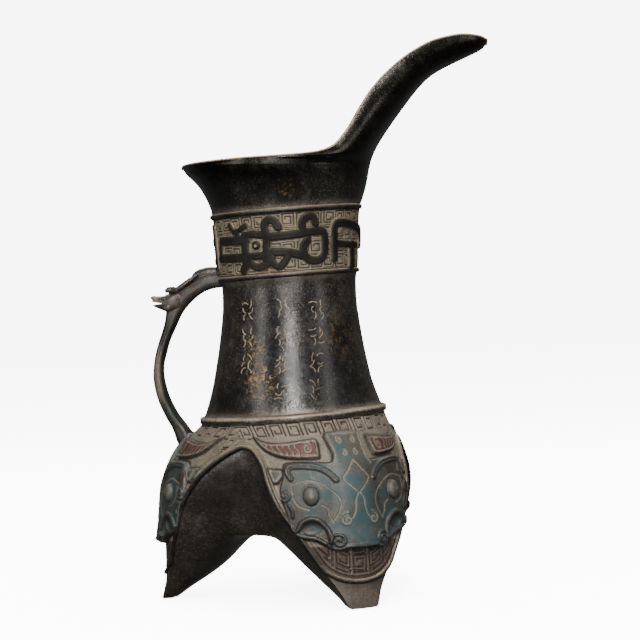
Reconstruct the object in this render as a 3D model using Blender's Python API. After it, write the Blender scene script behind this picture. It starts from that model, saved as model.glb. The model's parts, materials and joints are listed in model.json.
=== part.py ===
"""Spouted bronze ewer with three hollow pouch legs and a dragon-headed handle.

One casting, hollow and open at the mouth and along the spout. It is shaped round the
vertical axis of its neck, with the spout toward +X and the handle toward -X, mirrored
about the XZ plane, and then moved so that the origin is the middle of its bounding box
at the level of the feet.
Tables of points are in 248ths of the overall height, angles in degrees.
"""
import math

import bmesh
import bpy
import numpy as np
from mathutils import Vector

# Driving sizes, in metres.
OVERALL_HEIGHT = 0.248
WALL = 0.0025
LIP = 0.0021
RULE_RISE = 0.0010
FILLET_RISE = 0.0012
MASK_RISE = 0.0018
DRAGON_RISE = 0.0010
FOOT_SOLID = 0.0125
HANDLE_WIDTH = 0.0090
RING_SLOPE = 0.035

UNIT = OVERALL_HEIGHT / 248.0

# Heights on the axis, in units.
CROTCH = 29.9
BODY_TOP = 79.4
NECK_FOOT = 82.9
RING_LOW = 79.8
RING_HIGH = 82.3
RING_RADIUS = 42.3
BAND_LOW = 143.2
BAND_HIGH = 173.4
RULE_HEIGHT = 1.7
MOUTH_BASE = 174.6

# The tables below are drawn for a neck that ends at this height.
TABLE_NECK_TOP = 174.6
# How far the upper neck stands toward the spout, and from where to where it gets there.
LEAN = (0.7, 95.0, 140.0)

# Radius of the pouch bodies over the middle of a leg and in the valley between two.
LOBE = [(0, 63.2), (4.5, 62.0), (9, 61.0), (18, 60.4), (27, 60.3), (34, 60.0), (41, 59.8),
        (50, 58.8), (57, 57.0), (63.5, 54.2), (68, 51.2), (72.6, 47.6), (77, 43.4),
        (79.4, 41.2)]
VALLEY = [(0, 48), (18, 50.9), (34, 53.0), (45, 53.5), (54, 52.0), (60, 49.9), (68, 46.7),
          (72.6, 44.2), (77, 41.9), (79.4, 41.0)]

# Lower edge of the outside: angle from the middle of a leg, height.
EDGE_SPOUT_SIDE = [(0, 0), (5.2, 0), (9.2, 7), (11.8, 11.3), (14.8, 15.6), (18.2, 20),
                   (21.8, 24.6), (25.8, 30.5), (30.5, 38), (35.5, 46.5), (41, 55),
                   (46.5, 61.5), (52, 65.8), (60, 68.4)]
EDGE_HANDLE_SIDE = [(60, 0), (65.2, 0), (69.2, 7), (71.8, 11.3), (74.8, 15.6), (78.2, 20),
                    (82, 25.5), (87, 33.3), (92.1, 40.2), (96.1, 47), (99.3, 53.9),
                    (102.2, 60.6), (105.6, 65.1), (110, 68.1), (115, 68.8), (121.3, 66.9),
                    (129, 63.2), (137.9, 57), (144.6, 49.2), (150.6, 40), (154.6, 31.8),
                    (158, 25.5), (161.8, 20), (165.2, 15.6), (168.2, 11.3), (170.8, 7),
                    (174.8, 0), (180, 0)]

# Level sections of a leg: height, half width, where its inner end starts to round in
# and where that end lies, both measured out from the axis of the vessel.
LEG_HALF = [(0, 5.4), (4.5, 8.9), (9, 11.6), (13.4, 14.4), (18, 17.9), (22, 21), (28, 25.8),
            (33, 29.1), (40, 33.5), (50, 37.2), (60, 39.0), (67, 39.8), (75, 40.6)]
LEG_ROUND = [(0, 59.4), (4.5, 55.5), (9, 51), (13.6, 47), (18, 43.9), (22, 42), (28, 39.5),
             (75, 39.5)]
LEG_NOSE = [(0, 56), (4.5, 49.5), (9, 42), (13.6, 35.2), (18, 29.9), (22.7, 25.2),
            (27.4, 18.6), (29.0, 10), (29.9, 0), (30.5, -40), (75, -60)]

NECK = [(NECK_FOOT, 40.3), (86.2, 38.9), (90.7, 37.4), (95.3, 36.1), (104.4, 34.2),
        (113.4, 32.6), (122.5, 31.3), (131, 30.4), (139, 30.3), (145, 31.2), (158, 32.0),
        (168, 32.7), (TABLE_NECK_TOP, 33.9)]

# The mouth and spout in side view: a point of the rim side, the point of the keel it
# is joined to, the half width at the rim and the fullness of the channel section.
MOUTH = [((-33.2, 174.6), (34.6, 174.6), 0, 33.9, 2.0),
         ((-35.0, 179.6), (36.7, 180.0), 0, 35.5, 2.0),
         ((-38.6, 186.4), (38.5, 186.2), 0, 37.9, 2.0),
         ((-43.4, 190.9), (38.9, 189.6), 0, 39.4, 2.0),
         ((-45.6, 194.6), (39.3, 191.2), 0, 40.0, 2.0),
         ((-42.6, 195.5), (39.4, 191.6), 14.4, 40.0, 2.0),
         ((-32.0, 195.9), (39.6, 192.1), 28.6, 40.0, 2.0),
         ((-15.0, 196.3), (39.8, 192.8), 37.8, 40.0, 2.0),
         ((3.0, 196.6), (40.1, 193.6), 39.6, 39.6, 2.0),
         ((16.5, 197.4), (40.5, 194.9), 36.0, 36.0, 2.05),
         ((24.6, 199.8), (41.4, 197.2), 31.8, 31.8, 2.1),
         ((31.2, 206.8), (43.9, 201.6), 27.8, 27.8, 2.2),
         ((36.9, 216.2), (48.8, 208.4), 25.0, 25.0, 2.3),
         ((43.2, 225.4), (55.2, 216.6), 22.6, 22.6, 2.35),
         ((50.8, 233.2), (62.4, 225.2), 20.8, 20.8, 2.4),
         ((60.4, 240.4), (68.8, 231.2), 18.8, 18.8, 2.4),
         ((72.2, 246.0), (77.0, 235.2), 16.2, 16.2, 2.4),
         ((83.8, 248.0), (85.8, 238.8), 12.8, 12.8, 2.3),
         ((91.2, 247.3), (91.6, 241.2), 8.6, 8.6, 2.2),
         ((94.8, 246.0), (94.4, 243.8), 4.0, 4.0, 2.0)]

# The handle in side view, foot to neck: outer point, inner point.
HANDLE = [((-50.0, 64.5), (-43.0, 69.5)), ((-53.0, 69.5), (-46.6, 75.0)),
          ((-55.2, 76.2), (-49.3, 79.0)), ((-58.0, 81.7), (-52.4, 83.4)),
          ((-61.3, 89.6), (-55.9, 90.8)), ((-63.0, 98.4), (-57.9, 98.8)),
          ((-62.6, 105.6), (-58.0, 105.2)), ((-59.4, 117.0), (-54.6, 115.8)),
          ((-56.0, 129.6), (-48.6, 128.6)), ((-55.6, 136.0), (-45.6, 132.2)),
          ((-51.0, 139.8), (-42.4, 135.2)), ((-44.4, 142.8), (-38.9, 137.6)),
          ((-39.4, 145.8), (-35.6, 138.9)), ((-33.6, 146.8), (-32.0, 139.6)),
          ((-28.8, 147.0), (-28.6, 139.8))]
# The dragon head, back to snout: top point, bottom point, half width.
HEAD = [((-49.0, 139.6), (-49.0, 129.4), 4.6), ((-53.0, 138.4), (-53.0, 129.0), 5.6),
        ((-57.0, 137.0), (-56.8, 130.2), 5.0), ((-60.4, 137.0), (-60.0, 131.6), 4.2),
        ((-62.0, 136.4), (-61.6, 132.4), 3.0)]

# Raised strokes of the neck band: points (angle right of the front, height), half width.
DRAGON = [([(-62, 152.8), (-30, 152.6)], 1.4), ([(-61, 160.4), (-30, 159.8)], 1.4),
          ([(-28, 162), (-28.6, 147.4)], 1.6), ([(-36.8, 163.4), (-33, 167), (-26.4, 165.6)], 1.1),
          ([(-12, 151.8), (-11.9, 166.6), (-3, 167.4)], 1.4),
          ([(-8.8, 161), (13, 162), (16.6, 168.4), (26, 168)], 1.4),
          ([(18.4, 162.4), (33, 162.4), (34.7, 153.3), (26, 150.2), (17.4, 152.6), (18.2, 157)],
           1.4),
          ([(-9, 154.4), (14.2, 152.8)], 1.6), ([(-25.5, 150.6), (-18, 148), (4.5, 149)], 1.3)]
DRAGON_EYE = (-21, 157.2)
SPOUT_UNIT = [([(44.6, 150.6), (44.8, 165.6), (66, 166), (78, 163.4)], 1.4),
              ([(66, 157.7), (66.2, 148)], 2.2), ([(90, 148), (90, 168)], 1.8)]

# Raised parts of a beast mask: points (angle off the leg, height), half width.
PLATE = ([(0, 74.2), (0, 68), (0, 61)], [8.2, 7.2, 6.4], 2.4)
BROW = ([(8.6, 55.0), (13.5, 59.4), (26.5, 60.8), (28.4, 56.0)], 1.7)
JAW = ([(10.2, 32.6), (8.4, 28.4), (13.2, 30.6), (18.6, 38.2), (25.0, 35.4)], 1.6)
MASK_LIP = ([(-8.6, 28.8), (0, 28.0), (8.6, 28.8)], 2.4, 4.6)
MASK_NOSE = ([(0, 59.6), (0, 54.4), (0, 48.5), (0, 38.6), (0, 34.0)],
             [2.2, 5.4, 1.8, 5.4, 3.4], 3.4)
MASK_EYE = (19.6, 48.8)
WING = ([(14.6, 68.6), (32, 69.4), (49, 73.8)], [3.6, 3.1, 0.6])

COLUMNS = [0, 5.2, 10.5, 16.5, 23.5, 31.5, 41, 50, 60]
NECK_SIDES = 32


def pchip(table):
    """Return a smooth monotone curve through a table of (x, y) points."""
    x = np.array([p[0] for p in table], float)
    y = np.array([p[1] for p in table], float)
    h = np.diff(x)
    d = np.diff(y) / h
    m = np.zeros(len(x))
    m[0] = d[0]
    m[-1] = d[-1]
    for i in range(1, len(x) - 1):
        if d[i - 1] * d[i] > 0:
            w1 = 2 * h[i] + h[i - 1]
            w2 = h[i] + 2 * h[i - 1]
            m[i] = (w1 + w2) / (w1 / d[i - 1] + w2 / d[i])

    def value(q):
        i = int(min(max(np.searchsorted(x, q) - 1, 0), len(h) - 1))
        t = min(max((q - x[i]) / h[i], 0.0), 1.0)
        a = (1 + 2 * t) * (1 - t) ** 2 * y[i] + t * (1 - t) ** 2 * h[i] * m[i]
        return a + t * t * (3 - 2 * t) * y[i + 1] + t * t * (t - 1) * h[i] * m[i + 1]

    return value


def placed(z):
    """A table's height, moved with the two ends of the neck."""
    if z <= NECK_FOOT:
        return z
    if z <= TABLE_NECK_TOP:
        return NECK_FOOT + (z - NECK_FOOT) * (MOUTH_BASE - NECK_FOOT) / (TABLE_NECK_TOP - NECK_FOOT)
    return z + MOUTH_BASE - TABLE_NECK_TOP


lobe_at = pchip(LOBE)
valley_at = pchip(VALLEY)
edge_spout_at = pchip(EDGE_SPOUT_SIDE)
edge_handle_at = pchip(EDGE_HANDLE_SIDE)
neck_at = pchip([(placed(z), r) for z, r in NECK])
half_at = pchip(LEG_HALF)
round_at = pchip(LEG_ROUND)
nose_at = pchip(LEG_NOSE)


def fold(theta):
    """Angle from +X in 0..180 and the angle off the nearest leg in 0..60."""
    t = abs((theta + 180.0) % 360.0 - 180.0)
    return t, min(abs(t - 60.0), abs(t - 180.0))


def body_radius(theta, z):
    psi = fold(theta)[1]
    dip = (1 - math.cos(math.radians(3 * psi))) / 2
    return lobe_at(z) * (1 - dip) + valley_at(z) * dip


def outer_radius(theta, z):
    return neck_at(z) if z > NECK_FOOT else body_radius(theta, z)


def edge_height(theta, spread=0.0):
    """Height of the lower edge; spread moves the angle away from the nearest leg."""
    t, psi = fold(theta)
    grown = min(psi + spread, 60.0)
    if t <= 60.0:
        return edge_spout_at(grown)
    if t <= 115.0:
        return edge_handle_at(min(60.0 + grown, 115.0))
    return edge_handle_at(max(180.0 - grown, 115.0))


def leg_height(out, side):
    """Lowest height at which a point (outward, sideways from a leg) is inside the leg."""
    low = 0.0
    high = 72.0
    for step in range(26):
        z = 0.5 * (low + high)
        start = round_at(z)
        reach = side / half_at(z)
        if out < start:
            reach = math.hypot(reach, (start - out) / (start - nose_at(z)))
        if reach > 1.0:
            low = z
        else:
            high = z
    return high if high > 0.01 else 0.0


def under_height(theta, radius, spread=0.0):
    """Height of the underside at a radius, from the edge in to the crotch."""
    psi = math.radians(min(fold(theta)[1] + spread, 60.0))
    edge = edge_height(theta, spread)
    rim = body_radius(theta, edge)
    t = min(max(1.0 - radius / rim, 0.0), 1.0)
    here = leg_height(radius * math.cos(psi), radius * math.sin(psi))
    if t < 0.3:
        there = leg_height(rim * math.cos(psi), rim * math.sin(psi))
        here += (edge - there) * (1 - t / 0.3) ** 2
    return max(here, 0.0)


def polar(theta, radius, z, slope=True):
    """Point in units; rings above the shoulder rise a little toward the spout."""
    x = radius * math.cos(math.radians(theta))
    y = radius * math.sin(math.radians(theta))
    shift, low, high = LEAN
    lean = shift * min(max((z - low) / (high - low), 0.0), 1.0)
    if slope:
        z += RING_SLOPE * x * min(max((z - 71.0) / 9.0, 0.0), 1.0)
    return (x + lean, y, z)


def column_angles(step):
    """Angles round the vessel that fall on the middle and both edges of every foot."""
    half = COLUMNS[::step]
    angles = []
    for leg in (60.0, 180.0, 300.0):
        angles += [(leg - a) % 360.0 for a in half[1:]]
        angles += [leg % 360.0]
        angles += [(leg + a) % 360.0 for a in half[1:-1]]
    return sorted(angles)


def mouth_ring(station, angles, inset=0.0, over=0.0):
    """One section of the mouth and spout, from the keel round to both rim edges."""
    (px, pz), (kx, kz), rim_half, widest, power = station
    pz = placed(pz)
    kz = placed(kz)
    chord = Vector((px - kx, pz - kz))
    along = chord.normalized()
    open_top = rim_half > 0
    keel = Vector((kx, kz)) + along * inset
    top = Vector((px, pz)) - along * inset
    if open_top:
        lean = min(max((px - 10.0) / 30.0, 0.0), 1.0)
        out = Vector((0, 1)).lerp(along, lean).normalized()
        top = Vector((px, pz)) + out * over
    half = widest - inset
    count = len(angles)
    last = angles[count // 2 - 1]
    if open_top:
        edge = max(rim_half - inset, 0.02)
        ratio = min(edge / half, 1.0)
        end = 180.0 - math.degrees(math.asin(ratio ** (power / 2)))
    else:
        end = last
    reach = (1 - math.copysign(abs(math.cos(math.radians(end))) ** (2 / power),
                               math.cos(math.radians(end)))) if open_top else 2.0
    ring = []
    for i, angle in enumerate(angles):
        side = 1 if i <= count // 2 else -1
        a = angle if side > 0 else 360.0 - angle
        if i == count // 2:
            ring.append((top.x, 0.0, top.y))
            continue
        phi = math.radians(a * end / last)
        c = math.cos(phi)
        f = (1 - math.copysign(abs(c) ** (2 / power), c)) / reach
        p = keel.lerp(top, f)
        ring.append((p.x, side * half * math.sin(phi) ** (2 / power), p.y))
    return ring


def new_object(name, vertices, faces, collection, material=None):
    mesh = bpy.data.meshes.new(name)
    mesh.from_pydata([Vector(v) * UNIT for v in vertices], [], faces)
    bm = bmesh.new()
    bm.from_mesh(mesh)
    bmesh.ops.remove_doubles(bm, verts=bm.verts, dist=0.00001)
    bmesh.ops.triangulate(bm, faces=bm.faces)
    bmesh.ops.recalc_face_normals(bm, faces=bm.faces)
    bm.to_mesh(mesh)
    bm.free()
    obj = bpy.data.objects.new(name, mesh)
    if material:
        mesh.materials.append(material)
    collection.objects.link(obj)
    return obj


def bridge(a, m, b, n):
    """Triangles between two rings of unlike count that both start at the same angle."""
    faces = []
    i = 0
    j = 0
    while i < m or j < n:
        if j == n or (i < m and (i + 0.5) / m < (j + 0.5) / n):
            faces.append((a + i % m, a + (i + 1) % m, b + j % n))
            i += 1
        else:
            faces.append((a + i % m, b + (j + 1) % n, b + j % n))
            j += 1
    return faces


def loft(rings, pole=None):
    """Vertices and faces of a closed loft; rings of unlike count are stitched."""
    vertices = [p for ring in rings for p in ring]
    faces = [tuple(range(len(rings[0])))[::-1]]
    a = 0
    for ring, following in zip(rings, rings[1:]):
        m = len(ring)
        n = len(following)
        b = a + m
        if m == n:
            for i in range(m):
                j = (i + 1) % m
                faces.append((a + i, a + j, b + j, b + i))
        else:
            faces += bridge(a, m, b, n)
        a = b
    count = len(rings[-1])
    base = a
    if pole is None:
        faces.append(tuple(range(base, base + count)))
    else:
        vertices.append(pole)
        tip = len(vertices) - 1
        for i in range(count):
            faces.append((base + i, base + (i + 1) % count, tip))
    return vertices, faces


def edge_rows(theta):
    """Heights and lifts of the cord that runs along the lower edge, top row first."""
    psi = fold(theta)[1]
    edge = max(edge_height(theta), 0.0)
    run = (edge_height(theta + 0.5) - edge_height(theta - 0.5)) * 57.3 / body_radius(theta, edge)
    tall = math.sqrt(1 + min(run * run, 9.0))
    lift = FILLET_RISE / UNIT * min(max((psi - 15.0) / 4.0, 0.0), 1.0)
    return [(edge + 2.6 * tall, 0.0), (edge + 2.1 * tall, lift), (edge + 0.4 * tall, lift)]


def outside_rings():
    angles = [360.0 * i / NECK_SIDES for i in range(NECK_SIDES)]
    rings = [mouth_ring(s, angles) for s in reversed(MOUTH[1:])]
    rise = RULE_RISE / UNIT
    low = placed(BAND_LOW)
    high = placed(BAND_HIGH)
    rows = [(MOUTH_BASE, 0), (high, 0), (high - 0.3, rise), (high - RULE_HEIGHT, rise),
            (high - RULE_HEIGHT - 0.3, 0), (low + RULE_HEIGHT + 0.3, 0), (low + RULE_HEIGHT, rise),
            (low + 0.3, rise), (low, 0), (placed(127), 0), (placed(107), 0), (placed(92.5), 0),
            (NECK_FOOT, 0)]
    for z, lift in rows:
        rings.append([polar(a, neck_at(z) + lift, z) for a in angles])
    for z, radius in ((RING_HIGH, RING_RADIUS), (RING_LOW, RING_RADIUS)):
        rings.append([polar(a, radius, z) for a in angles])
    angles = column_angles(1)
    body_rows = 6
    for row in range(body_rows + 1):
        ring = []
        for a in angles:
            low = edge_rows(a)[0][0]
            f = row / body_rows
            z = BODY_TOP + (low - BODY_TOP) * (f + 0.12 * math.sin(math.pi * f) * (f - 0.6))
            ring.append(polar(a, body_radius(a, z), z))
        rings.append(ring)
    for row in (1, 2):
        ring = []
        for a in angles:
            z, lift = edge_rows(a)[row]
            ring.append(polar(a, body_radius(a, z) + lift, z))
        rings.append(ring)
    rings.append([polar(a, body_radius(a, max(edge_height(a), 0.0)), max(edge_height(a), 0.0))
                  for a in angles])
    for t in (0.11, 0.24, 0.4, 0.58, 0.78):
        ring = []
        for a in angles:
            radius = body_radius(a, max(edge_height(a), 0.0)) * (1 - t)
            ring.append(polar(a, radius, under_height(a, radius), False))
        rings.append(ring)
    return rings


def inside_rings():
    angles = column_angles(2)
    wall = WALL / UNIT
    lip = LIP / UNIT
    rings = []
    for first, second in reversed(list(zip(MOUTH[1:-1], MOUTH[2:]))):
        station = [tuple(0.5 * (a + b) for a, b in zip(first[k], second[k])) for k in (0, 1)]
        station += [0.5 * (first[k] + second[k]) for k in (2, 3, 4)]
        inset = lip if station[2] > 0 else wall
        rings.append(mouth_ring(station, angles, inset, 3.5))
    for z in (MOUTH_BASE + 1.3, placed(150), placed(133), placed(112), placed(96),
              NECK_FOOT + 1.0, 78.8):
        radius = neck_at(z) if z >= NECK_FOOT else 40.6
        rings.append([polar(a, radius - wall, z) for a in angles])
    floor = FOOT_SOLID / UNIT
    spread = 2.6 * wall / 2.5

    def depth(theta, radius):
        dip = (1 - math.cos(math.radians(3 * fold(theta)[1]))) / 2
        shift = 1.0 - 3.5 * dip
        return max(under_height(theta, radius - shift, spread) + 1.04 * wall, floor)

    ends = {}
    for a in angles:
        z = 40.0
        for step in range(30):
            z = 0.5 * z + 0.5 * depth(a, body_radius(a, z) - wall)
        ends[a] = z
    body_rows = 4
    for row in range(1, body_rows + 1):
        ring = []
        for a in angles:
            z = 77.5 + (ends[a] - 77.5) * row / body_rows
            ring.append(polar(a, body_radius(a, z) - wall, z))
        rings.append(ring)
    for t in (0.11, 0.24, 0.42, 0.68):
        ring = []
        for a in angles:
            radius = (body_radius(a, ends[a]) - wall) * (1 - t)
            ring.append(polar(a, radius, depth(a, radius), False))
        rings.append(ring)
    return rings


def surface_frame(theta, z):
    """Point on the outside with its outward normal, both in units."""
    def at(t, h):
        return Vector(polar(t, outer_radius(t, h), h))

    here = at(theta, z)
    normal = (at(theta + 1, z) - at(theta - 1, z)).cross(at(theta, z + 0.7) - at(theta, z - 0.7))
    return here, normal.normalized()


def split_long(points, halves):
    """Add middle points so that no straight run turns far round the vessel."""
    more = [points[0]]
    wide = [halves[0]]
    for (p, w), (q, v) in zip(zip(points, halves), zip(points[1:], halves[1:])):
        pieces = max(1, math.ceil(abs(q[0] - p[0]) / 13.0))
        for k in range(1, pieces + 1):
            f = k / pieces
            more.append((p[0] + (q[0] - p[0]) * f, p[1] + (q[1] - p[1]) * f))
            wide.append(w + (v - w) * f)
    return more, wide


def stroke(points, half, rise, sink=0.8):
    """A raised bar wrapped on the outside along points of (angle, height)."""
    halves = half if isinstance(half, list) else [half] * len(points)
    points, halves = split_long(points, halves)
    count = len(points)
    places = [surface_frame(*p) for p in points]
    rings = []
    for i, (here, normal) in enumerate(places):
        before = places[max(i - 1, 0)][0]
        after = places[min(i + 1, count - 1)][0]
        side = normal.cross((after - before).normalized()).normalized()
        w = halves[i]
        rings.append([here - side * w - normal * sink, here - side * w * 0.8 + normal * rise,
                      here + side * w * 0.8 + normal * rise, here + side * w - normal * sink])
    return loft([[tuple(p) for p in ring] for ring in rings])


def boss(theta, z, radius, rise, sides=9, tall=1.0):
    """A domed button set on the outside."""
    here, normal = surface_frame(theta, z)
    across = Vector((0, 0, 1)).cross(normal).normalized()
    upward = normal.cross(across).normalized()
    rings = []
    for size, lift in ((1.0, -0.8), (1.0, 0.25 * rise), (0.62, 0.85 * rise)):
        rings.append([tuple(here + normal * lift
                            + across * radius * size * math.cos(2 * math.pi * k / sides)
                            + upward * radius * tall * size * math.sin(2 * math.pi * k / sides))
                      for k in range(sides)])
    return loft(rings, tuple(here + normal * rise))


def superellipse(top, bottom, half, sides=8, power=2.6):
    """A rounded closed section between two points of the side view."""
    t = Vector((top[0], 0, placed(top[1])))
    b = Vector((bottom[0], 0, placed(bottom[1])))
    ring = []
    for k in range(sides):
        a = 2 * math.pi * (k + 0.5) / sides
        c = math.copysign(abs(math.cos(a)) ** (2 / power), math.cos(a))
        s = math.copysign(abs(math.sin(a)) ** (2 / power), math.sin(a))
        p = b.lerp(t, 0.5 + 0.5 * c)
        ring.append((p.x, half * s, p.z))
    return ring


def relief(collection):
    """Every raised stroke and boss of the CAD form."""
    made = []
    mask_rise = MASK_RISE / UNIT
    for leg in (60.0, 180.0, 300.0):
        for points, half, rise in (PLATE, MASK_LIP, MASK_NOSE):
            path = [(leg + a, z) for a, z in points]
            made.append(stroke(path, half, rise * mask_rise / 1.8))
        for sign in (1, -1):
            for points, half in (BROW, JAW, WING):
                path = [(leg + sign * a, z) for a, z in points]
                made.append(stroke(path, half, mask_rise))
            made.append(boss(leg + sign * MASK_EYE[0], MASK_EYE[1], 4.1, 2.2, 8, 1.15))
    dragon_rise = DRAGON_RISE / UNIT
    for side in (1, -1):
        for points, half in DRAGON:
            path = [((a - 90.0) * side, placed(z)) for a, z in points]
            made.append(stroke(path, half, dragon_rise))
        made.append(boss((DRAGON_EYE[0] - 90.0) * side, placed(DRAGON_EYE[1]), 2.4, 1.5, 6))
        for points, half in SPOUT_UNIT:
            if points[0][0] < 90 or side > 0:
                path = [((a - 90.0) * side, placed(z)) for a, z in points]
                made.append(stroke(path, half, dragon_rise))
    made += fillets()
    return [new_object("relief_%02d" % i, v, f, collection) for i, (v, f) in enumerate(made)]


def fillets():
    """The cords that leave the lower edges and cross the front of each leg."""
    made = []
    for leg in (60.0, 180.0, 300.0):
        path = []
        for a in (-19.5, -15, -7.5, 0, 7.5, 15, 19.5):
            edge = edge_height(leg + a) + 3.2
            blend = min(max((abs(a) - 13.0) / 6.5, 0.0), 1.0)
            path.append((leg + a, (11.8 + 0.022 * a * a) * (1 - blend) + edge * blend))
        made.append(stroke(path, 1.1, FILLET_RISE / UNIT, 0.6))
    return made


def main():
    for old in list(bpy.data.objects):
        bpy.data.objects.remove(old, do_unlink=True)
    vessel_parts = bpy.data.collections.new("Spouted ewer")
    cutters = bpy.data.collections.new("Cutters and joined shapes")
    bpy.context.scene.collection.children.link(vessel_parts)
    bpy.context.scene.collection.children.link(cutters)

    bronze = bpy.data.materials.new("bronze")
    bronze.use_nodes = True
    shader = bronze.node_tree.nodes["Principled BSDF"]
    shader.inputs["Base Color"].default_value = (0.045, 0.040, 0.036, 1.0)
    shader.inputs["Metallic"].default_value = 0.85
    shader.inputs["Roughness"].default_value = 0.38

    vertices, faces = loft(outside_rings(), (0.0, 0.0, CROTCH))
    vessel = new_object("jue_vessel", vertices, faces, vessel_parts, bronze)
    joined = bpy.data.collections.new("Joined shapes")
    cutters.children.link(joined)
    half = 0.5 * HANDLE_WIDTH / UNIT
    rings = [superellipse(outer, inner, half * (1.25 if i < 2 else 1.0))
             for i, (outer, inner) in enumerate(HANDLE)]
    shapes = [new_object("handle_bar", *loft(rings), joined)]
    head_rings = [superellipse(top, bottom, w) for top, bottom, w in HEAD]
    head = new_object("handle_head", *loft(head_rings), joined)
    shapes.append(head)
    shapes += relief(joined)

    wall = WALL / UNIT
    inner_vertices, inner_faces = loft(inside_rings(), (0.0, 0.0, CROTCH + 1.04 * wall))
    cavity = new_object("cavity", inner_vertices, inner_faces, cutters)
    slit = [(-63.5, placed(134.9)), (-63.5, placed(132.9)), (-57.2, placed(133.6))]
    wedge = [(x, y, z) for y in (-8, 8) for x, z in slit]
    wedge_faces = [(0, 1, 2), (5, 4, 3), (0, 3, 4, 1), (1, 4, 5, 2), (2, 5, 3, 0)]
    mouth_cut = new_object("mouth_cut", wedge, wedge_faces, cutters)

    solid = [v.co for obj in [vessel] + shapes for v in obj.data.vertices]
    middle = Vector((min(p.x for p in solid) + max(p.x for p in solid),
                     min(p.y for p in solid) + max(p.y for p in solid), 0.0)) * 0.5
    for obj in [vessel] + shapes + [cavity, mouth_cut]:
        for vertex in obj.data.vertices:
            vertex.co -= middle
    for obj in shapes + [cavity, mouth_cut]:
        obj.hide_render = True
        obj.display_type = "WIRE"

    add = vessel.modifiers.new("join shapes", "BOOLEAN")
    add.operation = "UNION"
    add.operand_type = "COLLECTION"
    add.collection = joined
    add.solver = "EXACT"
    for name, cutter in (("hollow", cavity), ("dragon mouth", mouth_cut)):
        cut = vessel.modifiers.new(name, "BOOLEAN")
        cut.operation = "DIFFERENCE"
        cut.object = cutter
        cut.solver = "EXACT"


main()
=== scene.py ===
"""Looks of the spouted bronze ewer: a hollow casting on three pouch legs, with a relief
band round its neck, a beast mask on every leg, an inscription and a dragon handle.

Shapes are worked out in millimetres round the vertical axis of the neck, with the spout
toward +X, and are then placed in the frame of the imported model.
"""
import json
import math

import bmesh
import bpy
import numpy as np
from mathutils import Matrix, Vector

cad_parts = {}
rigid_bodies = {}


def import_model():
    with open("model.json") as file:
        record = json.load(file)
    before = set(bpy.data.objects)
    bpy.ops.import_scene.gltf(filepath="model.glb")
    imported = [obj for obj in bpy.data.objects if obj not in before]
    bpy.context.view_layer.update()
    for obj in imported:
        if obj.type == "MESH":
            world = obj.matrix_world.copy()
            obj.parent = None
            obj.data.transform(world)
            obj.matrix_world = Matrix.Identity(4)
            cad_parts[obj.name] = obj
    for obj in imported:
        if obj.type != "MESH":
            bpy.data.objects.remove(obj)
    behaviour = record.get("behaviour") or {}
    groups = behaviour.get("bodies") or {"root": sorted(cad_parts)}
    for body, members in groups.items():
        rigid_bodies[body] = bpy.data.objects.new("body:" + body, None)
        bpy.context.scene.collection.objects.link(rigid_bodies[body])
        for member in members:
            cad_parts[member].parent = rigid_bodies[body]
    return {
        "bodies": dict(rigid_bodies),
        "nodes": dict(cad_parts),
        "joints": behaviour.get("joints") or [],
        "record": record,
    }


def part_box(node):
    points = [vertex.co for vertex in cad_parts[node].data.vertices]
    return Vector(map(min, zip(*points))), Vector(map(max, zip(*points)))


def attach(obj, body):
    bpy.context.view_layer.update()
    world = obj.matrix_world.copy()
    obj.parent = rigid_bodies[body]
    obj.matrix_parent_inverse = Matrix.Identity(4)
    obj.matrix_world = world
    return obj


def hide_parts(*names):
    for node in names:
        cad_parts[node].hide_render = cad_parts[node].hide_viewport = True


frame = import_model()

bl_info = {
    "name": "Spouted bronze ewer",
    "version": (1, 0, 0),
    "blender": (4, 5, 0),
    "location": "View3D > Sidebar > Ewer",
    "description": "Builds the finished surface of a cast bronze ewer over its plain solid",
    "category": "Object",
}

MM = 0.001
NODE = "jue_vessel"
# The frame's origin is the middle of the bounding box, so the tip of the spout, which
# stands this far from the axis of the neck, gives the place of that axis.
TIP_REACH = 94.8
AXIS_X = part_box(NODE)[1][0] / MM - TIP_REACH

# Heights and sizes of the casting, in millimetres, and the rings' rise toward the spout.
CROTCH = 29.9
NECK_FOOT = 82.9
BAND_LOW = 143.2
BAND_HIGH = 173.4
BAND_RADIUS = 32.4
RULE_HALF = 0.85
MOUTH_BASE = 174.6
RING_SLOPE = 0.035
LEAN = (0.7, 95.0, 140.0)
LEGS = (60.0, 180.0, 300.0)
ARCH_TOP = 115.0
RIM_CROWN = 0.45
SHELL_FINE = 29
SAME_SPOT = 0.05
SHEET_UNDER = 0.55

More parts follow.
